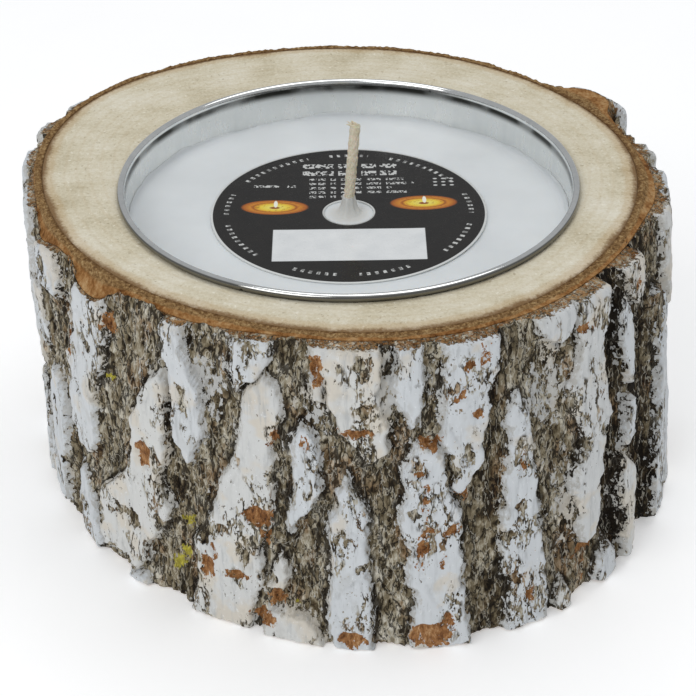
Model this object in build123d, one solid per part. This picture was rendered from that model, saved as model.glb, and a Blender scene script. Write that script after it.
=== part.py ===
from build123d import *
import math
import os
import random

# A log slice with its bark left on, bored to take a round tin of candle wax.
# Millimetres. +Z is up, the log stands on Z = 0, and the row's origin is the
# middle of the underside of the whole piece. -Y is the front.

# ---------------------------------------------------------------- log
LOG_HEIGHT = 80.0
LOG_CENTRE = (-3.6, 2.9)          # middle of the log outline
WOOD_RADIUS = 71.2                # mean radius of the bare wood at the top
WOOD_WAVES = ((2, 2.1, 95.0), (3, 1.1, -107.0), (5, 0.5, -14.0))
FLARE_MEAN = 2.2                  # how much wider the foot is than the top
FLARE_WAVES = ((1, 2.5, 10.0), (2, 1.2, 70.0))
OUTLINE_STEP = 10                 # degrees between the outline's spline points

# ---------------------------------------------------------------- bark
BARK_MEAN = 6.6                   # bast, furrow bed and plates together
BARK_WAVES = ((1, 1.6, 40.0),)
KNOB_ANGLE = 29.5                 # a knob of bark at the back right
KNOB_RISE = 3.0
KNOB_WIDTH = 8.2
KNOB_FOOT = 46.0                  # the other plates near the knob start below it
KNOB_CLEAR = 16.0
BAST_SHARE = 0.38                 # the layers' outer faces, as shares of the bark
BED_SHARE = 0.64
PLATE_SHARE = 1.0
TRIM_TOP = LOG_HEIGHT - 0.4       # the bark's top edge falls away outwards
TRIM_TOP_RADIUS = 70.0
TRIM_FOOT_RADIUS = 640.0
BEVEL_ANGLE = -139.0              # where the bark was pared back further
BEVEL_START = 70.0
BEVEL_SLOPE = 33.0

# ---------------------------------------------------------------- tin and candle
CUP_OFFSET = (2.5, -7.25)         # the pocket is nearer the front of the log
POCKET_RADIUS = 53.3
POCKET_DEPTH = 36.0
SHEET = 0.3                       # tinplate thickness
BEAD_RADIUS = 0.9                 # the curled rim
BEAD_PATH_RADIUS = 53.6
BEAD_GAP = 0.05
CURL_SWEEP = 250.0                # degrees that the rim's sheet is curled through
CUP_DEPTH = 35.0
CUP_DRAFT = 1.6
CUP_CORNER = 2.5
WAX_BELOW_RIM = 10.0
WAX_FILLET = (2.3, 1.4)           # radius and height of the wax drawn up the wick
WICK_RADIUS = 1.2
WICK_STRAIGHT = 3.0               # above the wax
WICK_ROUTE = ((1.7, 22.5), (0.6, 25.0))   # sideways and above the wax
WICK_BENDS = (9.0, 1.9)
TAB_RADIUS = 9.0
TAB_THICKNESS = 0.4
TAB_NECK_RADIUS = 1.9
TAB_NECK_HEIGHT = 3.2
LABEL_RADIUS = 32.9
LABEL_HOLE_RADIUS = 5.9
LABEL_THICKNESS = 0.3
LABEL_GAP = 0.05

LOW = (Align.CENTER, Align.CENTER, Align.MIN)
CUP_X = LOG_CENTRE[0] + CUP_OFFSET[0]
CUP_Y = LOG_CENTRE[1] + CUP_OFFSET[1]
BEAD_Z = LOG_HEIGHT + BEAD_GAP + BEAD_RADIUS
RIM_Z = BEAD_Z + BEAD_RADIUS
CUP_FLOOR_Z = RIM_Z - CUP_DEPTH
WAX_Z = RIM_Z - WAX_BELOW_RIM

# ---------------------------------------------------------------- bark plates
# Each plate runs down the log: (angle, height, half width), degrees and mm.
# A half width of 0 is a pointed end.
FRONT_PLATES = (
    ((-118.1, 81, 1.8), (-118.4, 74, 2), (-118, 69, 2.4), (-117, 64, 3), (-116.3, 58, 3.4),
     (-116.4, 51, 3.2), (-116.8, 47, 1.8), (-116.7, 43, 0)),
    ((-121.8, 66, 0), (-122.9, 61, 1.9), (-124, 54, 3.2), (-125.2, 47, 4), (-125.4, 40, 4.1),
     (-127.4, 34, 3.6), (-127.8, 28, 7), (-131.5, 22, 8), (-134, 14, 7.4), (-134.6, 8, 6.2),
     (-135, 4.4, 3.6)),
    ((-131, 3.6, 2), (-131, 0, 2.6)),
    ((-138.7, 76.5, 3.6), (-139.6, 71, 4.6), (-140, 62, 4.8), (-142, 56, 5.4), (-144.6, 50, 5.2),
     (-144.9, 40, 4.9), (-145, 34, 4.5), (-145, 30, 2.2)),
    ((-155, 81, 4), (-155.2, 71, 5.6), (-156, 66, 4)),
    ((-165, 62, 2), (-164.4, 54, 3), (-163.6, 46, 1.6)),
    ((-155.6, 44, 1.6), (-156, 36, 4.4), (-157.6, 28, 5), (-159.4, 20, 5), (-161, 12, 4.8),
     (-161.6, 3, 4.4)),
    ((-147.6, 21, 1.6), (-146.6, 15, 3), (-146.4, 9, 4), (-146.4, 4, 4.4), (-147.4, 0, 3)),
    ((-104.4, 81, 3.4), (-104.4, 75, 3), (-105.6, 70, 2.4), (-106.2, 66, 0)),
    ((-101.9, 71, 0), (-101.9, 66, 2.8), (-102.9, 60, 3.2), (-104, 52, 3), (-105, 45, 3.7),
     (-106, 39, 4.8), (-106.4, 33, 4.8), (-108.4, 27, 5), (-110.4, 22, 6), (-109.6, 17, 6.4),
     (-110.2, 11, 5.4), (-111.4, 5, 5.8), (-112, 0, 6.2)),
    ((-99.6, 24, 0), (-100.2, 19, 1.4), (-101.2, 14, 1.2)),
    ((-98.4, 8, 2.6), (-98.4, 3, 5), (-98, 0, 5.4)),
    ((-95.9, 60, 0), (-95.8, 56, 2), (-95.5, 50, 2.2), (-95.6, 45, 2.2), (-96.3, 40, 1.8),
     (-97.4, 36, 1), (-98, 31, 0)),
    ((-89.6, 81, 5), (-89.3, 76, 5), (-88, 72, 4.2), (-87.8, 67, 3.9), (-86.6, 60, 3.7),
     (-85.4, 55, 2.8), (-85.6, 51, 0)),
    ((-93.8, 71, 0.8), (-93.6, 66, 0.9)),
    ((-89.3, 48, 0), (-88.9, 42, 1.5), (-88.5, 36, 2.7), (-88.9, 29, 2.7), (-88.8, 20, 3),
     (-88.8, 13, 3.5), (-88.5, 6, 3.5), (-87.8, 0, 2.8)),
    ((-79.6, 81, 1.8), (-79.8, 73, 2), (-79.3, 66, 1.7), (-79, 59, 0)),
    ((-77.3, 55, 1.8), (-77.1, 50, 2.7), (-76.7, 45, 3.2), (-76.6, 39, 4.4), (-76.5, 34, 4.5),
     (-75.8, 28, 4), (-75.3, 20, 4.2), (-74.5, 14, 3.9), (-74.8, 7, 4.1), (-74.6, 0, 4.6)),
    ((-69.5, 81, 4.6), (-69.3, 76, 4.1), (-70.2, 70, 4.2), (-70.4, 63, 4), (-71.2, 56, 3.4),
     (-71.2, 50, 2.4), (-71.4, 45, 1.7), (-71.6, 41, 0)),
    ((-62.4, 64, 0), (-62.3, 59, 1.6), (-61.6, 52, 1.7), (-61.4, 45, 1.9), (-61.6, 39, 2.9),
     (-61.4, 33, 3.4), (-61.2, 25, 3.5), (-60.7, 19, 3.6), (-60, 13, 3.2), (-60.1, 6, 3.6),
     (-60.2, 0, 3.3)),
    ((-54.8, 81, 3.6), (-54.4, 76, 3.4), (-53.6, 71, 0)),
    ((-46, 81, 4), (-46, 76, 3.9), (-46.5, 70, 3), (-47, 64, 3), (-47.6, 59, 3.7),
     (-46.6, 53, 4), (-45.4, 47, 3.8), (-45.9, 41, 2.4), (-47.4, 37, 3.2), (-47.9, 31, 3.2),
     (-47.2, 25, 2.8), (-46.8, 20, 2.5), (-47.3, 16, 1.6)),
    ((-42.8, 12, 0), (-42.4, 7, 2.2), (-42, 0, 2.2)),
    ((-53.6, 8, 0), (-53.5, 4, 1.3), (-53.3, 0, 1.4)),
    ((-34.2, 81, 3.6), (-33, 76, 3.4), (-32.2, 71, 2.3), (-32.4, 67, 0)),
    ((-38.4, 76, 0), (-38, 70, 1.4), (-36.9, 64, 2), (-36.6, 59, 2.2), (-36, 54, 1.6),
     (-35.2, 49, 0)),
    ((-35.3, 46, 0.8), (-35.1, 40, 1.1), (-36, 34, 1)),
    ((-37.4, 31, 1), (-36.6, 26, 2.4), (-36.8, 18, 2.2), (-36.6, 10, 2), (-35.8, 2, 1.6)),
    ((-21.5, 63, 1.2), (-19, 56, 3), (-18.4, 49, 3.2), (-17.8, 42, 2.6), (-17.6, 34, 2.8),
     (-18.4, 25, 3.4), (-20.6, 17, 4), (-21.4, 9, 4.2), (-21.4, 1, 4)),
    ((-13, 81, 3.6), (-13.2, 70, 3.8), (-11.6, 60, 2.6), (-11, 51, 1.6)),
    ((-12.4, 36, 0), (-12.6, 24, 3), (-12, 12, 3.4), (-11, 0, 3)),
    ((-4, 81, 3), (-5, 68, 3.6), (-4, 54, 3), (-3, 42, 1)),
    ((-172.6, 81, 4), (-173, 66, 4.2), (-172.6, 50, 4), (-171.6, 37, 2)),
    ((-171.6, 31, 2), (-172.6, 20, 4), (-172, 4, 4.4)),
    ((29.5, 81, 7.4), (29.5, 70, 7), (29.5, 60, 6), (29.5, 52, 3)),
)
BACK_SEED = 121
BACK_FROM = 9.8
BACK_TO = 176.0
BACK_PITCH = 11.6                 # degrees from one column of plates to the next
BACK_TOP = LOG_HEIGHT + 1.0
BACK_STATION = 9.0                # height between a back plate's sections


def wave_sum(waves, angle):
    total = 0.0
    for count, size, phase in waves:
        total += size * math.cos(math.radians(count * angle + phase))
    return total


def bark_thickness(angle):
    away = (angle - KNOB_ANGLE + 180.0) % 360.0 - 180.0
    knob = KNOB_RISE * math.exp(-((away / KNOB_WIDTH) ** 4))
    return BARK_MEAN + wave_sum(BARK_WAVES, angle) + knob


def layer_radius(angle, height, share):
    """Radius of a layer's outer face: share 0 is the wood, 1 the bark's outside."""
    wood = WOOD_RADIUS + wave_sum(WOOD_WAVES, angle)
    flare = FLARE_MEAN + wave_sum(FLARE_WAVES, angle)
    return wood + share * bark_thickness(angle) + flare * (1.0 - height / LOG_HEIGHT)


def layer_outline(height, share):
    points = []
    for angle in range(0, 360, OUTLINE_STEP):
        radius = layer_radius(angle, height, share)
        x = LOG_CENTRE[0] + radius * math.cos(math.radians(angle))
        y = LOG_CENTRE[1] + radius * math.sin(math.radians(angle))
        points.append((x, y, height))
    return make_face(Spline(*points, periodic=True))


def layer_solid(share):
    sections = [layer_outline(0.0, share), layer_outline(LOG_HEIGHT, share)]
    return loft(sections, ruled=True)


def trimmed(bark):
    """Cuts the bark's top edge back: a shallow cone all round and one flat bevel."""
    cone = Pos(*LOG_CENTRE, 0) * Cone(
        TRIM_FOOT_RADIUS,
        TRIM_TOP_RADIUS,
        TRIM_TOP,
        align=LOW,
    )
    reach = 100.0
    outward = Pos(*LOG_CENTRE, TRIM_TOP) * Rot(0, 0, BEVEL_ANGLE) * Pos(BEVEL_START, 0, 0)
    waste = Box(reach, 2 * reach, reach, align=LOW)
    bevel = outward * Rot(0, BEVEL_SLOPE, 0) * waste
    return (bark & cone) - bevel


def pocket():
    return Pos(CUP_X, CUP_Y, LOG_HEIGHT) * Cylinder(POCKET_RADIUS, 2 * POCKET_DEPTH)


def wood_core():
    return layer_solid(0.0) - pocket()


def inner_bark():
    return trimmed(layer_solid(BAST_SHARE) - layer_solid(0.0))


def outer_bark():
    return trimmed(layer_solid(BED_SHARE) - layer_solid(BAST_SHARE))


def back_plates():
    """Columns of plates round the back, each broken into pieces of random length."""
    chance = random.Random(BACK_SEED)
    plates = []
    angle = BACK_FROM
    while angle < BACK_TO:
        top = KNOB_FOOT if abs(angle - KNOB_ANGLE) < KNOB_CLEAR else BACK_TOP
        while top > 14.0:
            length = chance.uniform(26.0, 64.0)
            foot = max(top - length, 0.0)
            if foot < 9.0:
                foot = 0.0
            drift = chance.uniform(-1.8, 1.8)
            middle = chance.uniform(3.2, 5.0)
            stations = []
            sections = max(3, round((top - foot) / BACK_STATION) + 1)
            for index in range(sections):
                part = index / (sections - 1)
                height = top + (foot - top) * part
                at = angle + drift * math.sin(math.pi * part) + chance.uniform(-0.5, 0.5)
                width = middle * (0.55 + 0.45 * math.sin(math.pi * part))
                width = width * chance.uniform(0.8, 1.1)
                stations.append((at, height, width))
            plates.append(tuple(stations))
            top = foot - chance.uniform(3.0, 7.0)
        angle += BACK_PITCH
    return plates


def plate_prism(stations):
    """A plate's outline on a plane that faces outwards, pushed out through the bark."""
    middle = sum(station[0] for station in stations) / len(stations)
    left = []
    right = []
    for angle, height, width in stations:
        for side, edge in ((-1, left), (1, right)):
            turn = math.radians(angle + side * width - middle)
            across = layer_radius(angle, height, BED_SHARE) * math.sin(turn)
            edge.append((across, height))
    if stations[0][2] == 0:
        right = right[1:]
    if stations[-1][2] == 0:
        right = right[:-1]
    corners = left + right[::-1]
    place = Pos(*LOG_CENTRE, 0) * Rot(0, 0, middle)
    facing = Plane(origin=(0.5 * WOOD_RADIUS, 0, 0), x_dir=(0, 1, 0), z_dir=(1, 0, 0))
    face = facing * make_face(Polyline(*corners, close=True))
    return place * extrude(face, amount=WOOD_RADIUS, dir=(1, 0, 0))


def bark_plates():
    shell = trimmed(layer_solid(PLATE_SHARE) - layer_solid(BED_SHARE))
    plates = []
    for stations in list(FRONT_PLATES) + back_plates():
        plate = shell & plate_prism(stations)
        plates.extend(plate.solids())
    return Compound(plates)


def inside_radius(height):
    """Inner radius of the tin's drafted wall."""
    top = BEAD_PATH_RADIUS - BEAD_RADIUS
    wall_foot = CUP_FLOOR_Z + CUP_CORNER
    return top - CUP_DRAFT * (BEAD_Z - height) / (BEAD_Z - wall_foot)


def corner_arc(radius):
    """Quarter round between the tin's floor and its wall, about their shared centre."""
    middle = inside_radius(CUP_FLOOR_Z + CUP_CORNER) + SHEET - CUP_CORNER
    return CenterArc((middle, CUP_FLOOR_Z + CUP_CORNER), radius, 270, 90)


def cup_profile():
    """Half section of the drawn tin: floor, drafted wall and curled rim."""
    curl_centre = (BEAD_PATH_RADIUS, BEAD_Z)
    with BuildSketch(Plane.XZ) as sketch:
        with BuildLine():
            outer_corner = corner_arc(CUP_CORNER)
            inner_corner = corner_arc(CUP_CORNER - SHEET)
            outer_curl = CenterArc(curl_centre, BEAD_RADIUS, 180, -CURL_SWEEP)
            inner_curl = CenterArc(curl_centre, BEAD_RADIUS - SHEET, 180, -CURL_SWEEP)
            Line((0, CUP_FLOOR_Z), outer_corner @ 0)
            Line(outer_corner @ 1, inner_curl @ 0)
            Line(inner_curl @ 1, outer_curl @ 1)
            Line(outer_curl @ 0, inner_corner @ 1)
            Line(inner_corner @ 0, (0, CUP_FLOOR_Z + SHEET))
            Line((0, CUP_FLOOR_Z + SHEET), (0, CUP_FLOOR_Z))
        make_face()
    return sketch.sketch


def tin_cup():
    return Pos(CUP_X, CUP_Y, 0) * revolve(cup_profile(), Axis.Z)


def wick():
    """Stands straight in the wax, leans above it and curls over at the tip."""
    foot = CUP_FLOOR_Z + SHEET + TAB_THICKNESS
    corners = [(CUP_X, CUP_Y, foot), (CUP_X, CUP_Y, WAX_Z + WICK_STRAIGHT)]
    for sideways, above in WICK_ROUTE:
        corners.append((CUP_X + sideways, CUP_Y, WAX_Z + above))
    route = FilletPolyline(*corners, radius=list(WICK_BENDS))
    start = Plane(origin=corners[0], z_dir=(0, 0, 1))
    return sweep(start * Circle(WICK_RADIUS), path=route)


def wick_tab():
    """The stamped sustainer that holds the wick's foot on the floor of the tin."""
    flat = Cylinder(TAB_RADIUS, TAB_THICKNESS, align=LOW)
    neck = Cylinder(TAB_NECK_RADIUS, TAB_NECK_HEIGHT, align=LOW)
    return Pos(CUP_X, CUP_Y, CUP_FLOOR_Z + SHEET) * (flat + neck) - wick()


def wax_fill():
    """The wax takes the tin's inside shape and is drawn up a little round the wick."""
    fillet_radius, fillet_height = WAX_FILLET
    floor = CUP_FLOOR_Z + SHEET
    with BuildSketch(Plane.XZ) as sketch:
        with BuildLine():
            corner = corner_arc(CUP_CORNER - SHEET)
            Line((0, floor), corner @ 0)
            Polyline(
                corner @ 1,
                (inside_radius(WAX_Z), WAX_Z),
                (fillet_radius, WAX_Z),
                (WICK_RADIUS, WAX_Z + fillet_height),
                (0, WAX_Z + fillet_height),
                (0, floor),
            )
        make_face()
    body = Pos(CUP_X, CUP_Y, 0) * revolve(sketch.sketch, Axis.Z)
    return body - wick_tab() - wick()


def label():
    """A loose card disc that lies on the wax, with a hole for the wick."""
    disc = Cylinder(LABEL_RADIUS, LABEL_THICKNESS, align=LOW)
    hole = Cylinder(LABEL_HOLE_RADIUS, 4 * LABEL_THICKNESS)
    return Pos(CUP_X, CUP_Y, WAX_Z + LABEL_GAP) * (disc - hole)


def write(name, shape):
    export_step(shape, "parts/" + name + ".step")
    box = shape.bounding_box()
    print(name, len(shape.solids()), "solids", box.min, box.max)


os.makedirs("parts", exist_ok=True)
write("wood_core", wood_core())
write("inner_bark", inner_bark())
write("outer_bark", outer_bark())
write("bark_plates", bark_plates())
write("tin_cup", tin_cup())
write("wax_fill", wax_fill())
write("wick", wick())
write("wick_tab", wick_tab())
write("label", label())
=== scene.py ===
import math
import random

import bpy
import numpy as np
from mathutils import Matrix, Vector


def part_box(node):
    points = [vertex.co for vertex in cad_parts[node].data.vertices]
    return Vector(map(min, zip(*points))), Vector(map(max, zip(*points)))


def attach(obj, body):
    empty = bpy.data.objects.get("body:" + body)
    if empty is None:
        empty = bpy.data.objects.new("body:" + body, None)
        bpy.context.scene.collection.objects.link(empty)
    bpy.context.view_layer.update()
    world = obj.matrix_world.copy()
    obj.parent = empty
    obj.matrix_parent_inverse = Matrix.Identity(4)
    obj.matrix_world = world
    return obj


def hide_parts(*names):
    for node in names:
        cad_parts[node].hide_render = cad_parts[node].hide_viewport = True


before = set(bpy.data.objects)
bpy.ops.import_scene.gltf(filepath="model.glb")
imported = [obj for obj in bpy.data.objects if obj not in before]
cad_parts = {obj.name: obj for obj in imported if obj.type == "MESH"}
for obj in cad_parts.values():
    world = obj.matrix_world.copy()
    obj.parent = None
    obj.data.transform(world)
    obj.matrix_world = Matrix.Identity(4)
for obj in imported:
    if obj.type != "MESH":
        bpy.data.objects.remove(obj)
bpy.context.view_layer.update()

# A log candle holder: a bored slice of whitewashed log, and a tin of wax that drops into it.
# Sizes below are millimetres, in the row's frame. -Y is the front.
MM = 0.001


def box_mm(node):
    low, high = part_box(node)
    return np.array(low) / MM, np.array(high) / MM


def middle_mm(node):
    low, high = box_mm(node)
    return (low + high) / 2


# ---------------------------------------------------------------- sizes, the same as in the CAD model
LOG_HEIGHT = box_mm("wood_core")[1][2]
CUP_X, CUP_Y, _ = middle_mm("tin_cup")
CUP_FLOOR, RIM_TOP = box_mm("tin_cup")[0][2], box_mm("tin_cup")[1][2]
RIM_RADIUS = (box_mm("tin_cup")[1][0] - box_mm("tin_cup")[0][0]) / 2
CUP_OFFSET = (2.5, -7.25)
LOG_X = CUP_X - CUP_OFFSET[0]
LOG_Y = CUP_Y - CUP_OFFSET[1]
WOOD_RADIUS = 71.2
WOOD_WAVES = ((2, 2.1, 95.0), (3, 1.1, -107.0), (5, 0.5, -14.0))
FLARE_MEAN = 2.2
FLARE_WAVES = ((1, 2.5, 10.0), (2, 1.2, 70.0))
BARK_MEAN = 6.6
BARK_WAVES = ((1, 1.6, 40.0),)
KNOB_ANGLE = 29.5
KNOB_RISE = 3.0
KNOB_WIDTH = 8.2
KNOB_FOOT = 46.0
KNOB_CLEAR = 16.0
BED_SHARE = 0.64
POCKET_RADIUS = 53.3
POCKET_DEPTH = 36.0
MOUTH_BEVEL = 0.35                # the pocket's mouth is broken by this much
SHEET = 0.3
BEAD_RADIUS = 0.9
CUP_DRAFT = 1.6
CUP_CORNER = 2.5
LABEL_TOP = box_mm("label")[1][2]
LABEL_RADIUS = (box_mm("label")[1][0] - box_mm("label")[0][0]) / 2
LABEL_HOLE_RADIUS = 5.9
WAX_TOP = LABEL_TOP - 0.35
WICK_RADIUS = 1.2
SKIRT_RADIUS = 2.9                # wax drawn up round the wick's foot
SKIRT_RISE = 1.9
SKIRT_TOP = 4.4

# ---------------------------------------------------------------- the look of the bark
BAST_SHARE = 0.36                 # how much of the bark's thickness is brown bast
EDGE_DROP = 0.5                   # how far below the sawn top the bark ends
# Places where the edge slopes down to bare bast: (angle, width, drop, extra share of bast).
PARED = (
    (-160.0, 6.0, 3.6, 0.26), (-139.5, 7.5, 4.8, 0.34), (-116.0, 11.0, 0.9, 0.12), (58.0, 15.0, 4.6, 0.00),
    (112.0, 30.0, 3.4, 0.06), (13.0, 6.0, 2.6, 0.06), (-12.0, 8.0, 1.2, 0.04),
)
CAVITY_ANGLE = 23.8               # a hollow at the end of the knob, with painted shade in it
# Furrows that run deeper than the rest: (angle, half width in degrees, depth).
DEEP_FURROWS = (
    (-40.2, 2.6, 1.7), (-28.2, 4.4, 2.2), (-65.8, 2.0, 0.6), (-150.5, 2.0, 0.7), (-120.0, 1.2, 0.5),
)
COLUMNS = 1000                    # mesh columns round the log
ROWS = 165                        # mesh rows up the bark
CUT_STATIONS = 11                 # mesh stations across the bark's sawn edge
LAYER_GAP = 0.03                  # keeps the bast's back off the outer bark
BAST_STATIONS = 30                # mesh stations across the bast's top
BAST_TOP = LOG_HEIGHT - 0.25
WAX_SIDE_STATIONS = 24            # mesh stations of the wax's section below its top face
NOISE_FOOT = 20.0                 # noise over the log starts this far below the ground
NOISE_SPAN = 130.0                # and reaches this far up
GOUGE_REACH = 1.5                 # ragged gouges start from ovals this much larger
FURROW_DEPTH = 0.75
BACK_SEED = 121
BACK_FROM = 9.8
BACK_TO = 176.0
BACK_PITCH = 11.6
BACK_TOP = 81.0
BACK_STATION = 9.0
BACK_SHORTEST = 14.0

# Plates of whitewashed bark, each a run of (angle, height, half width) in degrees and mm.
FRONT_PLATES = (
    ((-118.1, 81, 1.8), (-118.4, 74, 2), (-118, 69, 2.4), (-117, 64, 3), (-116.3, 58, 3.4),
     (-116.4, 51, 3.2), (-116.8, 47, 1.8), (-116.7, 43, 0)),
    ((-121.8, 66, 0), (-122.9, 61, 1.9), (-124, 54, 3.2), (-125.2, 47, 4), (-125.4, 40, 4.1),
     (-127.4, 34, 3.6), (-127.8, 28, 7), (-131.5, 22, 8), (-134, 14, 7.4), (-134.6, 8, 6.2),
     (-135, 4.4, 3.6)),
    ((-131, 3.6, 2), (-131, 0, 2.6)),
    ((-138.7, 76.5, 3.6), (-139.6, 71, 4.6), (-140, 62, 4.8), (-142, 56, 5.4), (-144.6, 50, 5.2),
     (-144.9, 40, 4.9), (-145, 34, 4.5), (-145, 30, 2.2)),
    ((-155, 81, 4), (-155.2, 71, 5.6), (-156, 66, 4)),
    ((-165, 62, 2), (-164.4, 54, 3), (-163.6, 46, 1.6)),
    ((-155.6, 44, 1.6), (-156, 36, 4.4), (-157.6, 28, 5), (-159.4, 20, 5), (-161, 12, 4.8),
     (-161.6, 3, 4.4)),
    ((-147.6, 21, 1.6), (-146.6, 15, 3), (-146.4, 9, 4), (-146.4, 4, 4.4), (-147.4, 0, 3)),
    ((-104.4, 81, 3.4), (-104.4, 75, 3), (-105.6, 70, 2.4), (-106.2, 66, 0)),
    ((-101.9, 71, 0), (-101.9, 66, 2.8), (-102.9, 60, 3.2), (-104, 52, 3), (-105, 45, 3.7),
     (-106, 39, 4.8), (-106.4, 33, 4.8), (-108.4, 27, 5), (-110.4, 22, 6), (-109.6, 17, 6.4),
     (-110.2, 11, 5.4), (-111.4, 5, 5.8), (-112, 0, 6.2)),
    ((-99.6, 24, 0), (-100.2, 19, 1.4), (-101.2, 14, 1.2)),
    ((-98.4, 8, 2.6), (-98.4, 3, 5), (-98, 0, 5.4)),
    ((-95.9, 60, 0), (-95.8, 56, 2), (-95.5, 50, 2.2), (-95.6, 45, 2.2), (-96.3, 40, 1.8),
     (-97.4, 36, 1), (-98, 31, 0)),
    ((-89.6, 81, 5), (-89.3, 76, 5), (-88, 72, 4.2), (-87.8, 67, 3.9), (-86.6, 60, 3.7),
     (-85.4, 55, 2.8), (-85.6, 51, 0)),
    ((-93.8, 71, 0.8), (-93.6, 66, 0.9)),
    ((-89.3, 48, 0), (-88.9, 42, 1.5), (-88.5, 36, 2.7), (-88.9, 29, 2.7), (-88.8, 20, 3),
     (-88.8, 13, 3.5), (-88.5, 6, 3.5), (-87.8, 0, 2.8)),
    ((-79.6, 81, 1.8), (-79.8, 73, 2), (-79.3, 66, 1.7), (-79, 59, 0)),
    ((-77.3, 55, 1.8), (-77.1, 50, 2.7), (-76.7, 45, 3.2), (-76.6, 39, 4.4), (-76.5, 34, 4.5),
     (-75.8, 28, 4), (-75.3, 20, 4.2), (-74.5, 14, 3.9), (-74.8, 7, 4.1), (-74.6, 0, 4.6)),
    ((-69.5, 81, 4.6), (-69.3, 76, 4.1), (-70.2, 70, 4.2), (-70.4, 63, 4), (-71.2, 56, 3.4),
     (-71.2, 50, 2.4), (-71.4, 45, 1.7), (-71.6, 41, 0)),
    ((-62.4, 64, 0), (-62.3, 59, 1.6), (-61.6, 52, 1.7), (-61.4, 45, 1.9), (-61.6, 39, 2.9),
     (-61.4, 33, 3.4), (-61.2, 25, 3.5), (-60.7, 19, 3.6), (-60, 13, 3.2), (-60.1, 6, 3.6),
     (-60.2, 0, 3.3)),
    ((-54.8, 81, 3.6), (-54.4, 76, 3.4), (-53.6, 71, 0)),
    ((-46, 81, 4), (-46, 76, 3.9), (-46.5, 70, 3), (-47, 64, 3), (-47.6, 59, 3.7),
     (-46.6, 53, 4), (-45.4, 47, 3.8), (-45.9, 41, 2.4), (-47.4, 37, 3.2), (-47.9, 31, 3.2),
     (-47.2, 25, 2.8), (-46.8, 20, 2.5), (-47.3, 16, 1.6)),
    ((-42.8, 12, 0), (-42.4, 7, 2.2), (-42, 0, 2.2)),
    ((-53.6, 8, 0), (-53.5, 4, 1.3), (-53.3, 0, 1.4)),
    ((-34.2, 81, 3.6), (-33, 76, 3.4), (-32.2, 71, 2.3), (-32.4, 67, 0)),
    ((-38.4, 76, 0), (-38, 70, 1.4), (-36.9, 64, 2), (-36.6, 59, 2.2), (-36, 54, 1.6),
     (-35.2, 49, 0)),
    ((-35.3, 46, 0.8), (-35.1, 40, 1.1), (-36, 34, 1)),
    ((-37.4, 31, 1), (-36.6, 26, 2.4), (-36.8, 18, 2.2), (-36.6, 10, 2), (-35.8, 2, 1.6)),
    ((-21.5, 63, 1.2), (-19, 56, 3), (-18.4, 49, 3.2), (-17.8, 42, 2.6), (-17.6, 34, 2.8),
     (-18.4, 25, 3.4), (-20.6, 17, 4), (-21.4, 9, 4.2), (-21.4, 1, 4)),
    ((-13, 81, 3.6), (-13.2, 70, 3.8), (-11.6, 60, 2.6), (-11, 51, 1.6)),
    ((-12.4, 36, 0), (-12.6, 24, 3), (-12, 12, 3.4), (-11, 0, 3)),
    ((-4, 81, 3), (-5, 68, 3.6), (-4, 54, 3), (-3, 42, 1)),
    ((-172.6, 81, 4), (-173, 66, 4.2), (-172.6, 50, 4), (-171.6, 37, 2)),
    ((-171.6, 31, 2), (-172.6, 20, 4), (-172, 4, 4.4)),
    ((29.5, 81, 7.4), (29.5, 70, 7), (29.5, 60, 6), (29.5, 52, 3)),
)
# Chips where the paint and the outer flake are gone: (angle, height, half width, half height) in mm.
CHIPS = (
    (-126.6, 41, 2.1, 3.4), (-133.5, 70, 2.0, 2.6), (-147.3, 57, 1.4, 3.0), (-113.8, 16, 1.5, 3.2),
    (-108.2, 16, 2.7, 1.4), (-103.5, 34, 2.9, 2.6), (-102.5, 28, 0.9, 2.4), (-112.0, 20.5, 0.9, 1.8),
    (-103.2, 5.5, 3.0, 2.2), (-101.0, 11, 1.4, 2.0), (-100.6, 55, 0.8, 2.2), (-95.8, 55, 0.6, 1.3),
    (-93.4, 73.5, 1.5, 3.2), (-87.6, 58.5, 2.7, 1.4), (-87.9, 3, 2.5, 2.2), (-76.3, 55.5, 2.0, 1.5),
    (-77.6, 48, 0.9, 1.4), (-77.0, 41, 0.4, 3.2), (-77.9, 27.5, 1.0, 3.8), (-77.2, 33.6, 0.9, 1.8),
    (-74.8, 25, 0.8, 1.6), (-73.5, 32.4, 1.5, 1.1), (-76.6, 4, 3.4, 3.4), (-73.8, 8, 1.3, 2.4),
    (-72.0, 68, 0.8, 1.0), (-70.4, 74.5, 1.2, 0.9), (-68.2, 75, 0.5, 2.2), (-69.1, 61.6, 1.1, 1.4),
    (-71.0, 41, 1.2, 1.6), (-61.3, 45, 0.7, 2.0), (-60.0, 9.4, 1.0, 2.2), (-48.2, 10.6, 2.2, 3.0),
    (-46.3, 13, 2.0, 2.4), (-47.9, 4.4, 1.0, 1.6), (-48.8, 73, 1.3, 1.0), (-32.6, 73.4, 0.7, 1.2),
)
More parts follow.
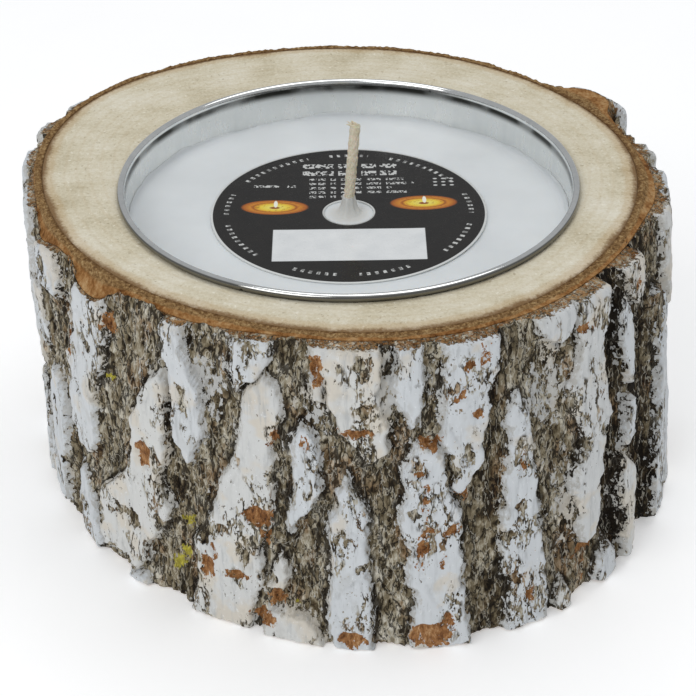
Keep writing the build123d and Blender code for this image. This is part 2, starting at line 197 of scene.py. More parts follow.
# Gouges through the paint: (angle, height, half width, half height) in mm.
GOUGES = (
    (-140.4, 62.6, 1.7, 1.2), (-130.7, 19.5, 1.6, 1.8), (-133.6, 20.6, 1.6, 0.7), (-136.3, 18, 1.4, 0.6),
    (-135, 5.6, 3.0, 0.6), (-140, 14.3, 0.6, 2.2), (-120.4, 50, 0.7, 3.4), (-123.2, 23, 1.2, 1.8),
    (-117, 59, 0.7, 3.2), (-145, 46.7, 0.8, 1.4), (-148.6, 48, 0.9, 2.4), (-125, 57, 0.9, 2.0),
    (-113.8, 25.5, 1.6, 2.2), (-110.4, 28, 1.0, 1.2), (-101.6, 25.5, 1.5, 3.2), (-102.6, 18, 1.2, 1.2),
    (-101.3, 45.5, 0.7, 1.2), (-86.9, 75.3, 0.9, 2.4), (-86.3, 64.7, 1.0, 0.9), (-81, 31, 0.9, 1.0),
    (-73.5, 46.7, 0.7, 2.6), (-78.8, 38, 0.8, 1.0), (-66.6, 65.3, 0.6, 1.8), (-63.8, 26.8, 1.0, 1.2),
    (-62.2, 34, 0.6, 1.2), (-63.2, 15.6, 1.0, 1.4), (-86.6, 24.3, 0.9, 1.1), (-90, 30.5, 0.6, 1.2),
    (-51, 56, 1.0, 2.0), (-48.5, 41.7, 1.4, 1.4), (-45, 30, 0.7, 1.0), (-44.1, 44.2, 0.8, 1.0),
    (-50, 25.5, 1.0, 1.8), (-104.8, 76, 0.8, 1.4), (-107, 22, 0.7, 1.6), (-70.6, 52, 0.7, 1.4),
    (-20.8, 57, 1.6, 5.5), (-157, 72, 1.2, 2.4), (-158, 30, 1.0, 2.4), (-155, 17, 1.4, 1.2),
    (-147, 11, 1.0, 1.4),
)
# Spots of yellow lichen: (angle, height, half width, half height) in mm.
LICHEN = (
    (-121.3, 10.5, 2.6, 2.6), (-119.5, 14, 1.8, 1.8), (-118.3, 25.5, 1.7, 1.7), (-135.4, 55, 1.5, 1.5),
    (-152, 9.5, 1.8, 1.8), (-98, 10.5, 0.9, 0.9), (70, 30, 1.8, 1.8), (140, 22, 1.6, 1.6),
)
# Stretches of furrow flecked with paint: (angle, height, half width in degrees, half height).
FLECKED = (
    (-55, 62, 5, 20), (-51, 30, 4, 14), (-37, 22, 5, 16), (-30, 72, 5, 8), (-150, 36, 6, 12),
    (-123, 60, 5, 8), (-112, 66, 5, 12), (-94, 62, 3, 10), (-80, 70, 5, 10), (-97, 6, 5, 6),
    (-148, 66, 5, 8), (-175, 50, 12, 30), (-8, 40, 9, 40), (60, 40, 20, 24), (130, 50, 16, 24),
)


# ---------------------------------------------------------------- noise over the log's surface
def fade(value):
    return value * value * value * (value * (value * 6 - 15) + 10)


def ripple(angle, height, width, length, seed):
    """Gradient noise that closes on itself round the log. Angle in degrees, the rest in mm."""
    columns = max(3, int(round(2 * math.pi * WOOD_RADIUS / width)))
    rows = int(NOISE_SPAN / length) + 4
    turns = np.random.default_rng(seed).uniform(0, 2 * math.pi, (rows, columns))
    x = np.mod(angle, 360.0) / 360.0 * columns
    y = (height + NOISE_FOOT) / length
    x0 = np.floor(x).astype(int)
    y0 = np.clip(np.floor(y).astype(int), 0, rows - 2)
    fx = x - x0
    fy = y - y0
    corner = {}
    for dx in (0, 1):
        for dy in (0, 1):
            turn = turns[y0 + dy, (x0 + dx) % columns]
            corner[dx, dy] = np.cos(turn) * (fx - dx) + np.sin(turn) * (fy - dy)
    ux = fade(fx)
    uy = fade(fy)
    low = corner[0, 0] + ux * (corner[1, 0] - corner[0, 0])
    high = corner[0, 1] + ux * (corner[1, 1] - corner[0, 1])
    return 1.6 * (low + uy * (high - low))


def ripples(angle, height, *layers):
    """A sum of noises, each given as (size, width, length, seed)."""
    return sum(size * ripple(angle, height, *layer) for size, *layer in layers)


def edge_ripples(turn, *layers):
    """The same along one line round the log, each given as (size, width, seed)."""
    return sum(size * ripple(turn, 0 * turn, width, 40.0, seed) for size, width, seed in layers)


def ridges(angle, height, width, length, seed):
    return 1.0 - 2.2 * np.abs(ripple(angle, height, width, length, seed))


def steps(count, first=0.0, last=1.0):
    """One row of even steps, to set against a column of angles."""
    return np.linspace(first, last, count)[None, :]


def sines(turn, *waves):
    """A sum of sines, each given as (size, count round the circle, phase)."""
    return sum(size * np.sin(count * turn + phase) for size, count, phase in waves)


def step(value, low, high):
    part = np.clip((value - low) / (high - low), 0.0, 1.0)
    return part * part * (3 - 2 * part)


def turn_from(angle, centre):
    """Degrees from a direction, between -180 and 180."""
    return np.mod(angle - centre + 180.0, 360.0) - 180.0


def bump_at(angle, centre, width):
    return np.exp(-((turn_from(angle, centre) / width) ** 2))


# ---------------------------------------------------------------- the log's outline
def wave_sum(waves, angle):
    total = 0.0
    for count, size, phase in waves:
        total = total + size * np.cos(np.radians(count * angle + phase))
    return total


def knob_at(angle):
    """1 on the knob of bark and 0 away from it, with steep ends."""
    return np.exp(-((turn_from(angle, KNOB_ANGLE) / KNOB_WIDTH) ** 4))


def bark_thickness(angle):
    return BARK_MEAN + wave_sum(BARK_WAVES, angle) + KNOB_RISE * knob_at(angle)


def layer_radius(angle, height, share):
    wood = WOOD_RADIUS + wave_sum(WOOD_WAVES, angle)
    flare = FLARE_MEAN + wave_sum(FLARE_WAVES, angle)
    return wood + share * bark_thickness(angle) + flare * (1.0 - height / LOG_HEIGHT)


def bast_share(angle, below=0.0):
    """The bast's share of the bark's thickness, thicker close to its sloping top edge."""
    swelling = 0.46 * knob_at(angle) + 0.12 * bump_at(angle, -8.0, 7.0)
    swelling = swelling - 0.30 * bump_at(angle, CAVITY_ANGLE, 3.0)
    for centre, width, _, extra in PARED:
        swelling = swelling + extra * bump_at(angle, centre, width)
    return BAST_SHARE + swelling - (swelling + 0.22) * step(below, 0.0, 3.0)


def bark_edge(angle):
    """Height at which the bast's sloping cut edge meets the outer bark."""
    drop = EDGE_DROP
    for centre, width, depth, _ in PARED:
        drop = drop + depth * bump_at(angle, centre, width) * (1.0 - 0.9 * knob_at(angle))
    wander = edge_ripples(angle, (0.5, 11.0, 31), (0.25, 4.0, 32))
    return LOG_HEIGHT - drop * (1 + 0.5 * wander) + 0.3 * wander


def on_log(angle, radius, height):
    """Points in metres from polar coordinates about the middle of the log."""
    x = LOG_X + radius * np.cos(np.radians(angle))
    y = LOG_Y + radius * np.sin(np.radians(angle))
    return np.stack([x, y, height + 0 * x], axis=-1) * MM


def bast_face(turn, edge):
    """Radius and level of the joint between the bast and the outer bark, from its edge down."""
    below = np.array([1.0, 2.0, 3.2, 20.0, 40.0, 60.0])[None, :]
    level = np.maximum(edge[:, None] - below, 0.0)
    level[:, -1] = 0.0
    thick = bast_share(turn[:, None], below) * bark_thickness(turn)[:, None]
    return layer_radius(turn[:, None], level, 0.0) + thick, level


# ---------------------------------------------------------------- meshes
def add_object(name, data):
    thing = bpy.data.objects.new(name, data)
    bpy.context.scene.collection.objects.link(thing)
    return thing


def mesh_object(name, points, faces, attributes):
    mesh = bpy.data.meshes.new(name)
    mesh.from_pydata(points.reshape(-1, 3), [], faces)
    mesh.validate()
    if sum_volume(points.reshape(-1, 3), faces) < 0:
        mesh.flip_normals()
    for title, values in attributes.items():
        layer = mesh.attributes.new(title, "FLOAT", "POINT")
        layer.data.foreach_set("value", np.ascontiguousarray(values, dtype=np.float32).ravel())
    mesh.polygons.foreach_set("use_smooth", np.ones(len(mesh.polygons), dtype=bool))
    return add_object(name, mesh)


def sum_volume(points, faces):
    """Six times the signed volume, from each face's first three corners and its fourth."""
    corners = np.array([face if len(face) == 4 else (*face, face[2]) for face in faces])
    a, b, c, d = (points[corners[:, k]] for k in range(4))
    first = np.einsum("ij,ij->i", a, np.cross(b, c))
    second = np.einsum("ij,ij->i", a, np.cross(c, d))
    return float(first.sum() + second.sum())


def ring_faces(columns, stations, closed):
    """Quads of a grid that closes round its columns, and round its stations if closed."""
    i = np.arange(columns)[:, None]
    j = np.arange(stations if closed else stations - 1)[None, :]
    i2 = (i + 1) % columns
    j2 = (j + 1) % stations
    corners = [i * stations + j, i2 * stations + j, i2 * stations + j2, i * stations + j2]
    return np.stack(corners, axis=-1).reshape(-1, 4).tolist()


def ring_piece(name, points, attributes):
    """A closed ring: the last station of each column's section joins the first."""
    columns, stations = points.shape[:2]
    return mesh_object(name, points, ring_faces(columns, stations, True), attributes)


def capped_piece(name, points, first_pole, last_pole, attributes):
    """A solid of revolution or near it: a section from pole to pole, repeated round."""
    columns, stations = points.shape[:2]
    faces = ring_faces(columns, stations, False)
    first = columns * stations
    last = first + 1
    for i in range(columns):
        after = (i + 1) % columns
        faces.append((first, after * stations, i * stations))
        faces.append((last, i * stations + stations - 1, after * stations + stations - 1))
    every = np.concatenate([points.reshape(-1, 3), [first_pole, last_pole]])
    packed = {}
    for title, values in attributes.items():
        ends = [values[:, 0].mean(), values[:, -1].mean()]
        packed[title] = np.concatenate([values.ravel(), ends])
    return mesh_object(name, every, faces, packed)


# ---------------------------------------------------------------- the bark's relief
def back_plates():
    """Columns of plates round the back, each broken into pieces of random length."""
    chance = random.Random(BACK_SEED)
    plates = []
    angle = BACK_FROM
    while angle < BACK_TO:
        top = KNOB_FOOT if abs(angle - KNOB_ANGLE) < KNOB_CLEAR else BACK_TOP
        while top > BACK_SHORTEST:
            length = chance.uniform(26.0, 64.0)
            foot = max(top - length, 0.0)
            if foot < BACK_STATION:
                foot = 0.0
            drift = chance.uniform(-1.8, 1.8)
            middle = chance.uniform(3.2, 5.0)
            stations = []
            sections = max(3, round((top - foot) / BACK_STATION) + 1)
            for index in range(sections):
                part = index / (sections - 1)
                height = top + (foot - top) * part
                at = angle + drift * math.sin(math.pi * part) + chance.uniform(-0.5, 0.5)
                width = middle * (0.55 + 0.45 * math.sin(math.pi * part))
                width = width * chance.uniform(0.8, 1.1)
                stations.append((at, height, width))
            plates.append(tuple(stations))
            top = foot - chance.uniform(3.0, 7.0)
        angle += BACK_PITCH
    return plates


def plate_depth(angle, height, stations):
    """How far inside a plate's outline each point is, in mm, and where it lies across it."""
    turns = [station[0] for station in stations][::-1]
    heights = [station[1] for station in stations][::-1]
    widths = [station[2] for station in stations][::-1]
    centre = np.interp(height, heights, turns)
    half = np.interp(height, heights, widths)
    away = turn_from(angle, centre)
    depth = (half - np.abs(away)) * math.radians(1.0) * (WOOD_RADIUS + BARK_MEAN)
    if heights[-1] < LOG_HEIGHT - 1.0:
        depth = np.minimum(depth, heights[-1] - height)
    if heights[0] > 0.5:
        depth = np.minimum(depth, height - heights[0])
    across = away / np.maximum(half, 0.8)
    return depth, across


def inside_oval(angle, height, at, up, half_width, half_height):
    """How far inside an oval on the bark each point is, in mm."""
    away = turn_from(angle, at) * math.radians(1.0) * WOOD_RADIUS
    apart = np.sqrt((away / half_width) ** 2 + ((height - up) / half_height) ** 2)
    return (1.0 - apart) * min(half_width, half_height)


def inside_ovals(angle, height, ovals, grow=1.0):
    """How far inside the deepest of several ovals each point is, in mm."""
    inside = np.full(angle.shape, -9.0)
    for at, up, half_width, half_height in ovals:
        reach = inside_oval(angle, height, at, up, grow * half_width, grow * half_height)
        inside = np.maximum(inside, reach)
    return inside


def plate_masks(turned, raised):
    """How far inside a plate each point is, with that plate's tone and the crown of its face."""
    chance = random.Random(5)
    inside = np.full(turned.shape, -12.0)
    tone = np.zeros(turned.shape)
    crown = np.zeros(turned.shape)
    for stations in list(FRONT_PLATES) + back_plates():
        depth, across = plate_depth(turned, raised, stations)
        shade = chance.random()
        tilt = chance.uniform(-0.35, 0.35)
        rise = chance.uniform(-0.3, 0.5)
        nearer = depth > inside
        tone = np.where(nearer, shade, tone)
        crown = np.where(nearer, tilt * np.clip(across, -1, 1) + rise, crown)
        inside = np.maximum(inside, depth)
    return inside, tone, crown


def flecked_mask(angle, height):
    """1 in the middle of each stretch of furrow that has flecks of paint."""
    flecked = np.zeros(angle.shape)
    for at, up, half_width, half_height in FLECKED:
        spot = bump_at(angle, at, half_width) * np.exp(-(((height - up) / half_height) ** 2))
        flecked = np.maximum(flecked, spot)
    return flecked


def cork_grain(angle, height):
    """Cords of cork that run up the furrows, with finer fibres on them."""
    grain = ripples(angle, height, (0.45, 5.0, 12.0, 7), (0.30, 1.1, 1.5, 11))
    swayed = angle + 0.9 * ripple(angle, height, 4.0, 7.0, 8)
    grain = grain + 0.42 * ridges(swayed, height, 2.1, 6.5, 9)
    return grain + 0.34 * ridges(swayed, height, 1.25, 3.2, 10)


def bark_relief(angle, height):
    """Radius and the paint's masks over the bark's outer face."""
    slide = ripples(angle, height, (0.8, 9.0, 15.0, 1), (0.75, 3.4, 5.5, 2), (0.55, 1.5, 2.2, 3))
    turned = angle + slide / (math.radians(1.0) * (WOOD_RADIUS + BARK_MEAN))
    raised = height + ripples(angle, height, (1.2, 8.0, 10.0, 4), (0.9, 3.0, 4.0, 5))
    inside, tone, crown = plate_masks(turned, raised)
    chipped = inside_ovals(turned, raised, CHIPS)
    gouged = inside_ovals(turned, raised, GOUGES, GOUGE_REACH)
    gouged = gouged + 0.7 * ripple(angle, height, 1.5, 2.4, 18)

    grain = cork_grain(angle, height)
    sunk = sum(depth * bump_at(turned, at, half_width) for at, half_width, depth in DEEP_FURROWS)
    bed = grain - 0.2 - FURROW_DEPTH * step(-inside, 0.4, 5.0) - sunk
    bed = bed + 0.5 * step(inside + 0.9 * ripple(angle, height, 3.0, 5.0, 12), -1.8, -1.1)
    foot_of_plate = np.exp(-((inside + 0.75) / 0.45) ** 2)
    bed = bed - 0.9 * foot_of_plate * step(ripple(angle, height, 9.0, 12.0, 17), -0.4, 0.4)

    top = (1.0 - BED_SHARE) * bark_thickness(angle) - 0.45 + crown
    top += ripples(angle, height, (0.35, 12.0, 18.0, 13), (0.24, 3.6, 7.0, 14), (0.16, 1.4, 3.0, 15))
    top -= 0.60 * step(chipped, -0.2, 0.3) + 0.55 * step(gouged, -0.2, 0.3)
    top -= 0.35 * step(ridges(angle, height, 7.0, 26.0, 16), 0.90, 1.0)
    relief = bed + (top - bed) * step(inside, -0.45, 0.55)
    masks = {
        "inside": inside - 0.6 * sunk,
        # how high the cork stands, less in the deep furrows; the cork's colour takes painted shade from it
        "ridge": np.clip((grain + 0.9) / 2.2 - 0.45 * sunk, 0.0, 1.0),
        "tone": tone,
        "chip": chipped,
        "gouge": gouged,
        "lichen": inside_ovals(turned, raised, LICHEN),
        "flecked": flecked_mask(angle, height),
    }
    return layer_radius(angle, height, BED_SHARE) + relief, masks


def bark_cut(turn, edge, radius, top_height):
    """The outer bark's sawn edge, from its face in to the bast, and the hollow by the knob."""
    inner_top = layer_radius(turn, edge, 0.0) + bast_share(turn) * bark_thickness(turn)
    across = steps(CUT_STATIONS + 1)[:, 1:]
    top_radius = radius[:, -1:] + (inner_top[:, None] - radius[:, -1:]) * across
    crumb = 0.30 * ripple(turn[:, None] + 0 * across, 30.0 + 14 * across, 1.4, 1.6, 24)
    top_level = top_height[:, None] + (edge - 0.2 - top_height)[:, None] * step(across, 0.25, 1.0)
    top_level = top_level + crumb * np.sin(math.pi * across)
    hollow = bump_at(turn, CAVITY_ANGLE, 2.6)[:, None] * np.exp(-(((across - 0.5) / 0.28) ** 2))
    return top_radius, top_level - 5.0 * hollow, across, hollow


def make_bark():
    """The outer bark: furrow bed and plates in one closed ring with its real relief."""
    turn = np.arange(COLUMNS) * 360.0 / COLUMNS
    edge = bark_edge(turn)
    _, near_top = bark_relief(turn, edge - 3.0)
    in_furrow = 1.0 - step(near_top["inside"], -1.2, 0.6)
    ragged = edge_ripples(turn, (0.5, 2.2, 21), (0.3, 1.1, 22))
    tuft = 0.34 + 0.5 * bump_at(turn, -126.0, 5.0) + 0.4 * bump_at(turn, -149.0, 2.5)
    top_height = edge - 0.4 + in_furrow * (tuft * (LOG_HEIGHT - edge) + ragged) + 0.2 * ragged
    foot_height = 0.25 + np.abs(edge_ripples(turn, (0.7, 5.0, 23)))
    part = steps(ROWS)
    height = foot_height[:, None] + (top_height - foot_height)[:, None] * part
    angle = turn[:, None] + 0 * height
    radius, masks = bark_relief(angle, height)
    radius = radius - 0.45 * np.exp(-(top_height[:, None] - height) / 0.5)
    radius = radius - 0.7 * np.exp(-(height - foot_height[:, None]) / 0.6)
    top_radius, top_level, across, hollow = bark_cut(turn, edge, radius, top_height)
    inner_radius, inner_level = bast_face(turn, edge - 0.2)
    out = steps(8)[:, 1:-1]
    foot_radius = inner_radius[:, -1:] + (radius[:, :1] - inner_radius[:, -1:]) * out
    foot_level = foot_height[:, None] * out**2

    radii = np.concatenate([radius, top_radius, inner_radius, foot_radius], axis=1)
    levels = np.concatenate([height, top_level, inner_level, foot_level], axis=1)
    points = on_log(turn[:, None], radii, levels)
    cut = np.zeros(radii.shape)
    cut[:, ROWS:] = 1.0
    cut[:, ROWS:ROWS + CUT_STATIONS] = across
    # The hollow's mask; the bark's material paints it near black as painted shade.
    dark = np.zeros(radii.shape)
    dark[:, ROWS:ROWS + CUT_STATIONS] = hollow
    packed = {"cut": cut, "hollow": dark}
    for title, values in masks.items():
        full = np.zeros(radii.shape)
        full[:, :ROWS] = values
        full[:, ROWS:] = values[:, -1:]
        packed[title] = full
    return ring_piece("bark", points, packed)


def make_bast():
    """The brown inner bark: fuzzy where it was sawn and smooth where it slopes to the edge."""
    turn = np.arange(COLUMNS) * 360.0 / COLUMNS
    outer_radius, outer_level = bast_face(turn, bark_edge(turn))
    outer_radius = outer_radius - LAYER_GAP
    edge = bark_edge(turn)[:, None]
    thick = (bast_share(turn) * bark_thickness(turn))[:, None]
    part = steps(BAST_STATIONS)
    angle = turn[:, None] + 0 * part
    reach = thick * part
    sawn = 1.7 + edge_ripples(angle, (0.5, 6.0, 41))
    slope = step(reach, sawn, np.maximum(thick, sawn + 0.8))
    drop = 0.22 * step(reach, sawn - 0.2, sawn + 0.4) + 0.78 * slope
    level = BAST_TOP - drop * (BAST_TOP - edge)
    fuzz = ripples(angle, 40 + reach, (0.28, 0.9, 0.8, 42), (0.18, 2.2, 1.5, 43))
    level = level + fuzz * (1 - 0.6 * slope) * np.sin(math.pi * np.clip(part, 0.02, 0.98)) ** 0.5
    radius = layer_radius(angle, level, 0.0) + reach
    wood_foot = layer_radius(turn[:, None], 0.0, 0.0)
    inward = steps(4, 1.0, 0.0)[:, 1:-1]
    foot_radius = wood_foot + (outer_radius[:, -1:] - wood_foot) * inward
    up = steps(7)[:, :-1]
    inner_level = BAST_TOP * up + 0 * edge
    inner_radius = layer_radius(turn[:, None], inner_level, 0.0)
    radii = np.concatenate([radius, outer_radius, foot_radius, inner_radius], axis=1)
    levels = np.concatenate([level, outer_level, 0 * foot_radius, inner_level], axis=1)
    points = on_log(turn[:, None], radii, levels)
    place = np.ones(radii.shape)
    place[:, :BAST_STATIONS] = part
    sloped = np.ones(radii.shape)
    sloped[:, :BAST_STATIONS] = slope
    return ring_piece("bast", points, {"across": place, "sloped": sloped})


def make_wood():
    """The sawn log with its bored pocket."""
    turn = np.arange(COLUMNS)[:, None] * 360.0 / COLUMNS
    rim = layer_radius(turn, LOG_HEIGHT, 0.0)
    out_x, out_y, _ = np.moveaxis(on_log(turn, rim, LOG_HEIGHT) / MM, -1, 0)
    cup_turn = np.arctan2(out_y - CUP_Y, out_x - CUP_X)
    floor_level = LOG_HEIGHT - POCKET_DEPTH

    def section(radius, level):
        x = CUP_X + radius * np.cos(cup_turn) + 0 * level
        y = CUP_Y + radius * np.sin(cup_turn) + 0 * level
        return np.stack([x, y, level + 0 * x], axis=-1)

    floor = section(POCKET_RADIUS * steps(8, 0.2, 0.98), floor_level)
    wall = section(POCKET_RADIUS, floor_level + (POCKET_DEPTH - 0.6) * steps(12))
    mouth_x, mouth_y, _ = np.moveaxis(section(POCKET_RADIUS + MOUTH_BEVEL, LOG_HEIGHT), -1, 0)
    part = steps(44)
    x = mouth_x + (out_x - mouth_x) * part
    y = mouth_y + (out_y - mouth_y) * part
    polar = np.degrees(np.arctan2(y - LOG_Y, x - LOG_X))
    apart = np.hypot(x - LOG_X, y - LOG_Y)
    edge = rim - apart
    saw = ripples(polar, apart, (0.10, 1.3, 1.3, 51), (0.12, 5.0, 4.0, 52))
    saw = saw * np.sin(math.pi * np.clip(part, 0.03, 0.97)) ** 0.4
    round_over = 0.35 * np.exp(-edge / 0.6)
    top = np.stack([x, y, LOG_HEIGHT + saw - round_over - 0.08], axis=-1)
    down = steps(8, 1.0, 0.0)[:, 1:] * (LOG_HEIGHT - 1.0)
    side_radius = layer_radius(turn, down, 0.0)
    side = on_log(turn, side_radius, down) / MM
    under_radius = side_radius[:, -1:] * steps(10, 1.0, 0.1)[:, 1:]
    under = on_log(turn, under_radius, 0.0) / MM
    points = np.concatenate([floor, wall, top, side, under], axis=1) * MM
    distance = np.concatenate(
        [20 + 0 * floor[..., 0], 20 + 0 * wall[..., 0], edge, 0 * side[..., 0], rim - under_radius], axis=1
    )
    first = np.array([CUP_X, CUP_Y, floor_level]) * MM
    last = np.array([LOG_X, LOG_Y, 0.0]) * MM
    return capped_piece("sawn_log", points, first, last, {"edge": distance})


# ---------------------------------------------------------------- the refill
def lathe(name, profile, segments, wobble, close=False):
    """Turns a profile of (radius, height) about the tin's middle line, a little out of true."""
    turn = np.linspace(0, 2 * math.pi, segments, endpoint=False)[:, None]
    radius = np.array([point[0] for point in profile])[None, :] + 0 * turn
    level = np.array([point[1] for point in profile])[None, :] + 0 * turn
    radius, level = wobble(turn, radius, level)
    x = CUP_X + radius * np.cos(turn)
    y = CUP_Y + radius * np.sin(turn)
    points = np.stack([x, y, level], axis=-1) * MM
    if close:
        return ring_piece(name, points, {})
    return capped_piece(name, points, points[:, 0].mean(axis=0), points[:, -1].mean(axis=0), {})


def arc(centre, radius, start, sweep, count):
    turns = np.radians(np.linspace(start, start + sweep, count))
    return [(centre[0] + radius * math.cos(t), centre[1] + radius * math.sin(t)) for t in turns]


def straight(first, last, count):
    return [tuple(np.array(first) + (np.array(last) - first) * t) for t in np.linspace(0, 1, count)]


def cup_inside_radius(height):
    top = RIM_RADIUS - 2 * BEAD_RADIUS
    foot = CUP_FLOOR + CUP_CORNER
    return top - CUP_DRAFT * (RIM_TOP - BEAD_RADIUS - height) / (RIM_TOP - BEAD_RADIUS - foot)


def make_cup():
    """Drawn tinplate: a flat floor, drafted wall and a curled rim."""
    wall_foot = CUP_FLOOR + CUP_CORNER
    middle = cup_inside_radius(wall_foot) + SHEET - CUP_CORNER
    bead = (RIM_RADIUS - BEAD_RADIUS, RIM_TOP - BEAD_RADIUS)
    inner = cup_inside_radius(bead[1])
    outside = straight((0.5, CUP_FLOOR), (middle, CUP_FLOOR), 12)
    outside += arc((middle, wall_foot), CUP_CORNER, 270, 90, 8)[1:]
    outside += straight(outside[-1], (inner + SHEET, bead[1] - 0.3), 20)[1:]
    outside += arc(bead, BEAD_RADIUS - SHEET, 180, -250, 18)
    inside = arc(bead, BEAD_RADIUS, -70, 250, 34)
    inside += straight(inside[-1], (cup_inside_radius(wall_foot), wall_foot), 26)[1:]
    inside += arc((middle, wall_foot), CUP_CORNER - SHEET, 0, -90, 8)[1:]
    inside += straight(inside[-1], (0.5, CUP_FLOOR + SHEET), 12)[1:]

    def dents(turn, radius, level):
        """The thin wall and rim are never quite true."""
        soft = sines(turn, (0.10, 3, 0.6), (0.06, 7, 2.0), (0.03, 16, 0.0), (0.02, 29, 1.0))
        near_rim = step(level, LOG_HEIGHT - 12.0, RIM_TOP)
        return radius - 0.02 - 0.35 * np.abs(soft) * near_rim * (radius > 40), level

    return lathe("refill_tin", outside + inside, 420, dents)


def wax_profile(top_radius):
    """Half a section of the wax, with close points at the wall and round the wick."""
    floor = CUP_FLOOR + SHEET + 0.05
    foot_radius = cup_inside_radius(CUP_FLOOR + CUP_CORNER) - 0.15
    middle = foot_radius - CUP_CORNER + SHEET
    profile = straight((0.5, floor), (middle, floor), 8)
    profile += arc((middle, CUP_FLOOR + CUP_CORNER), CUP_CORNER - SHEET - 0.05, 270, 90, 6)[1:]
    profile += straight((foot_radius, CUP_FLOOR + CUP_CORNER), (top_radius, WAX_TOP), 12)[1:]
    profile += [(top_radius, WAX_TOP)] * 3
    surface = np.concatenate([[0.0, 0.25, 0.55, 0.95, 1.5], np.geomspace(2.2, top_radius - 2.4, 46)])
    profile += [(top_radius - inward, WAX_TOP) for inward in surface[1:-6]]
    profile += [(SKIRT_RADIUS + 2.0 * part**1.5, WAX_TOP) for part in np.linspace(1.0, 0.0, 7)]
    skirt = SKIRT_RADIUS - WICK_RADIUS
    profile += [(WICK_RADIUS + 0.1 + skirt * part**2, WAX_TOP) for part in np.linspace(0.9, 0, 11)]
    return profile + [(0.6, WAX_TOP)]


def make_wax():
    """The wax block, drawn up in an uneven line at the wall and round the wick."""
    top_radius = cup_inside_radius(WAX_TOP) - 0.05

    def skin(turn, radius, level):
        degrees = np.degrees(turn) + 0 * radius
        on_top = (level > WAX_TOP - 1e-6) & (np.arange(radius.shape[1])[None, :] > WAX_SIDE_STATIONS)
        climb = 0.9 + sines(turn, (0.55, 2, math.pi / 2), (0.34, 5, 1.0), (0.22, 11, 0.0))
        climb = climb + sines(turn, (0.16, 23, 0.4), (0.12, 41, 0.0))
        climb = climb + 1.1 * bump_at(degrees, 93.0, 7.0) - 0.3 * bump_at(degrees, 80.0, 6.0)
        wall = np.exp(-(top_radius - radius) / 0.40) * np.clip(climb, 0.1, 3.0)
        lumps = 1.0 + sines(turn, (0.30, 3, 0.8), (0.16, 7, 2.0))
        gap = (radius - WICK_RADIUS - 0.08) / (SKIRT_RADIUS - WICK_RADIUS)
        gap = np.clip(gap, 0.02, 1.0)
        wick = np.minimum(-SKIRT_RISE * np.log(gap) * lumps, SKIRT_TOP)
        wick = wick + 0.35 * np.exp(-np.clip(radius - SKIRT_RADIUS, 0, None) / 0.7)
        swell = ripples(degrees, radius, (0.05, 14.0, 14.0, 61), (0.02, 5.0, 5.0, 62))
        clear = step(radius, LABEL_RADIUS + 1.0, LABEL_RADIUS + 5.0)
        return radius, level + on_top * (wall + wick + swell * clear)

    return lathe("wax", wax_profile(top_radius), 360, skin)


def make_label():
    """The loose card disc, a little lifted along one edge."""
    inner, outer = LABEL_HOLE_RADIUS, LABEL_RADIUS
    low, high = LABEL_TOP - 0.3, LABEL_TOP
    profile = straight((inner, high), (outer - 0.06, high), 30)
    profile += [(outer, high - 0.06), (outer, low + 0.06)]
    profile += straight((outer - 0.06, low), (inner, low), 30)

    def warp(turn, radius, level):
        lift = 0.28 * step(radius, 14.0, outer) * (0.5 + 0.5 * np.cos(2 * turn + 0.7)) ** 2
        return radius, level + lift

    return lathe("label_card", profile, 240, warp, close=True)


# ---------------------------------------------------------------- wick and loose fibres
def tube(name, path, radii, sides, roughness, seed, twist=0.0, lobes=0, lobe_depth=0.0):
    """A closed tube along a path, with a lobed and twisting section if asked."""
    chance = np.random.default_rng(seed)
    path = np.array(path)
    count = len(path)
    points = []
    for index in range(count):
        ahead = path[min(index + 1, count - 1)] - path[max(index - 1, 0)]
        ahead = Vector(ahead).normalized()
        side = ahead.cross(Vector((0.0, 1.0, 0.0))).normalized()
        other = side.cross(ahead)
        ring = []
        for k in range(sides):
            turn = 2 * math.pi * k / sides
            lobe = 1.0 + lobe_depth * abs(math.cos(0.5 * lobes * turn + twist * index))
            radius = radii[index] * lobe * (1.0 + roughness * chance.uniform(-1, 1))
            ring.append(Vector(path[index]) + radius * (math.cos(turn) * side + math.sin(turn) * other))
        points.append(ring)
    grid = np.array(points).transpose(1, 0, 2) * MM
    return capped_piece(name, grid, path[0] * MM, path[-1] * MM, {})


def join(name, parts):
    """Joins loose solids into one piece."""
    points = []
    faces = []
    start = 0
    for part in parts:
        mesh = part.data
        co = np.empty(len(mesh.vertices) * 3, dtype=np.float32)
        mesh.vertices.foreach_get("co", co)
        points.append(co.reshape(-1, 3))
        faces.extend([tuple(start + k for k in polygon.vertices) for polygon in mesh.polygons])
        start += len(mesh.vertices)
        bpy.data.objects.remove(part)
    mesh = bpy.data.meshes.new(name)
    mesh.from_pydata(np.concatenate(points), [], faces)
    mesh.polygons.foreach_set("use_smooth", np.ones(len(mesh.polygons), dtype=bool))
    return add_object(name, mesh)


def wick_line(height):
    """The wick's middle at a height above the wax: straight at its foot, then leaning."""
    lean = 1.7 * max(0.0, (height - 2.0) / 21.0) ** 1.1
    return np.array([CUP_X + lean, CUP_Y, WAX_TOP + height])


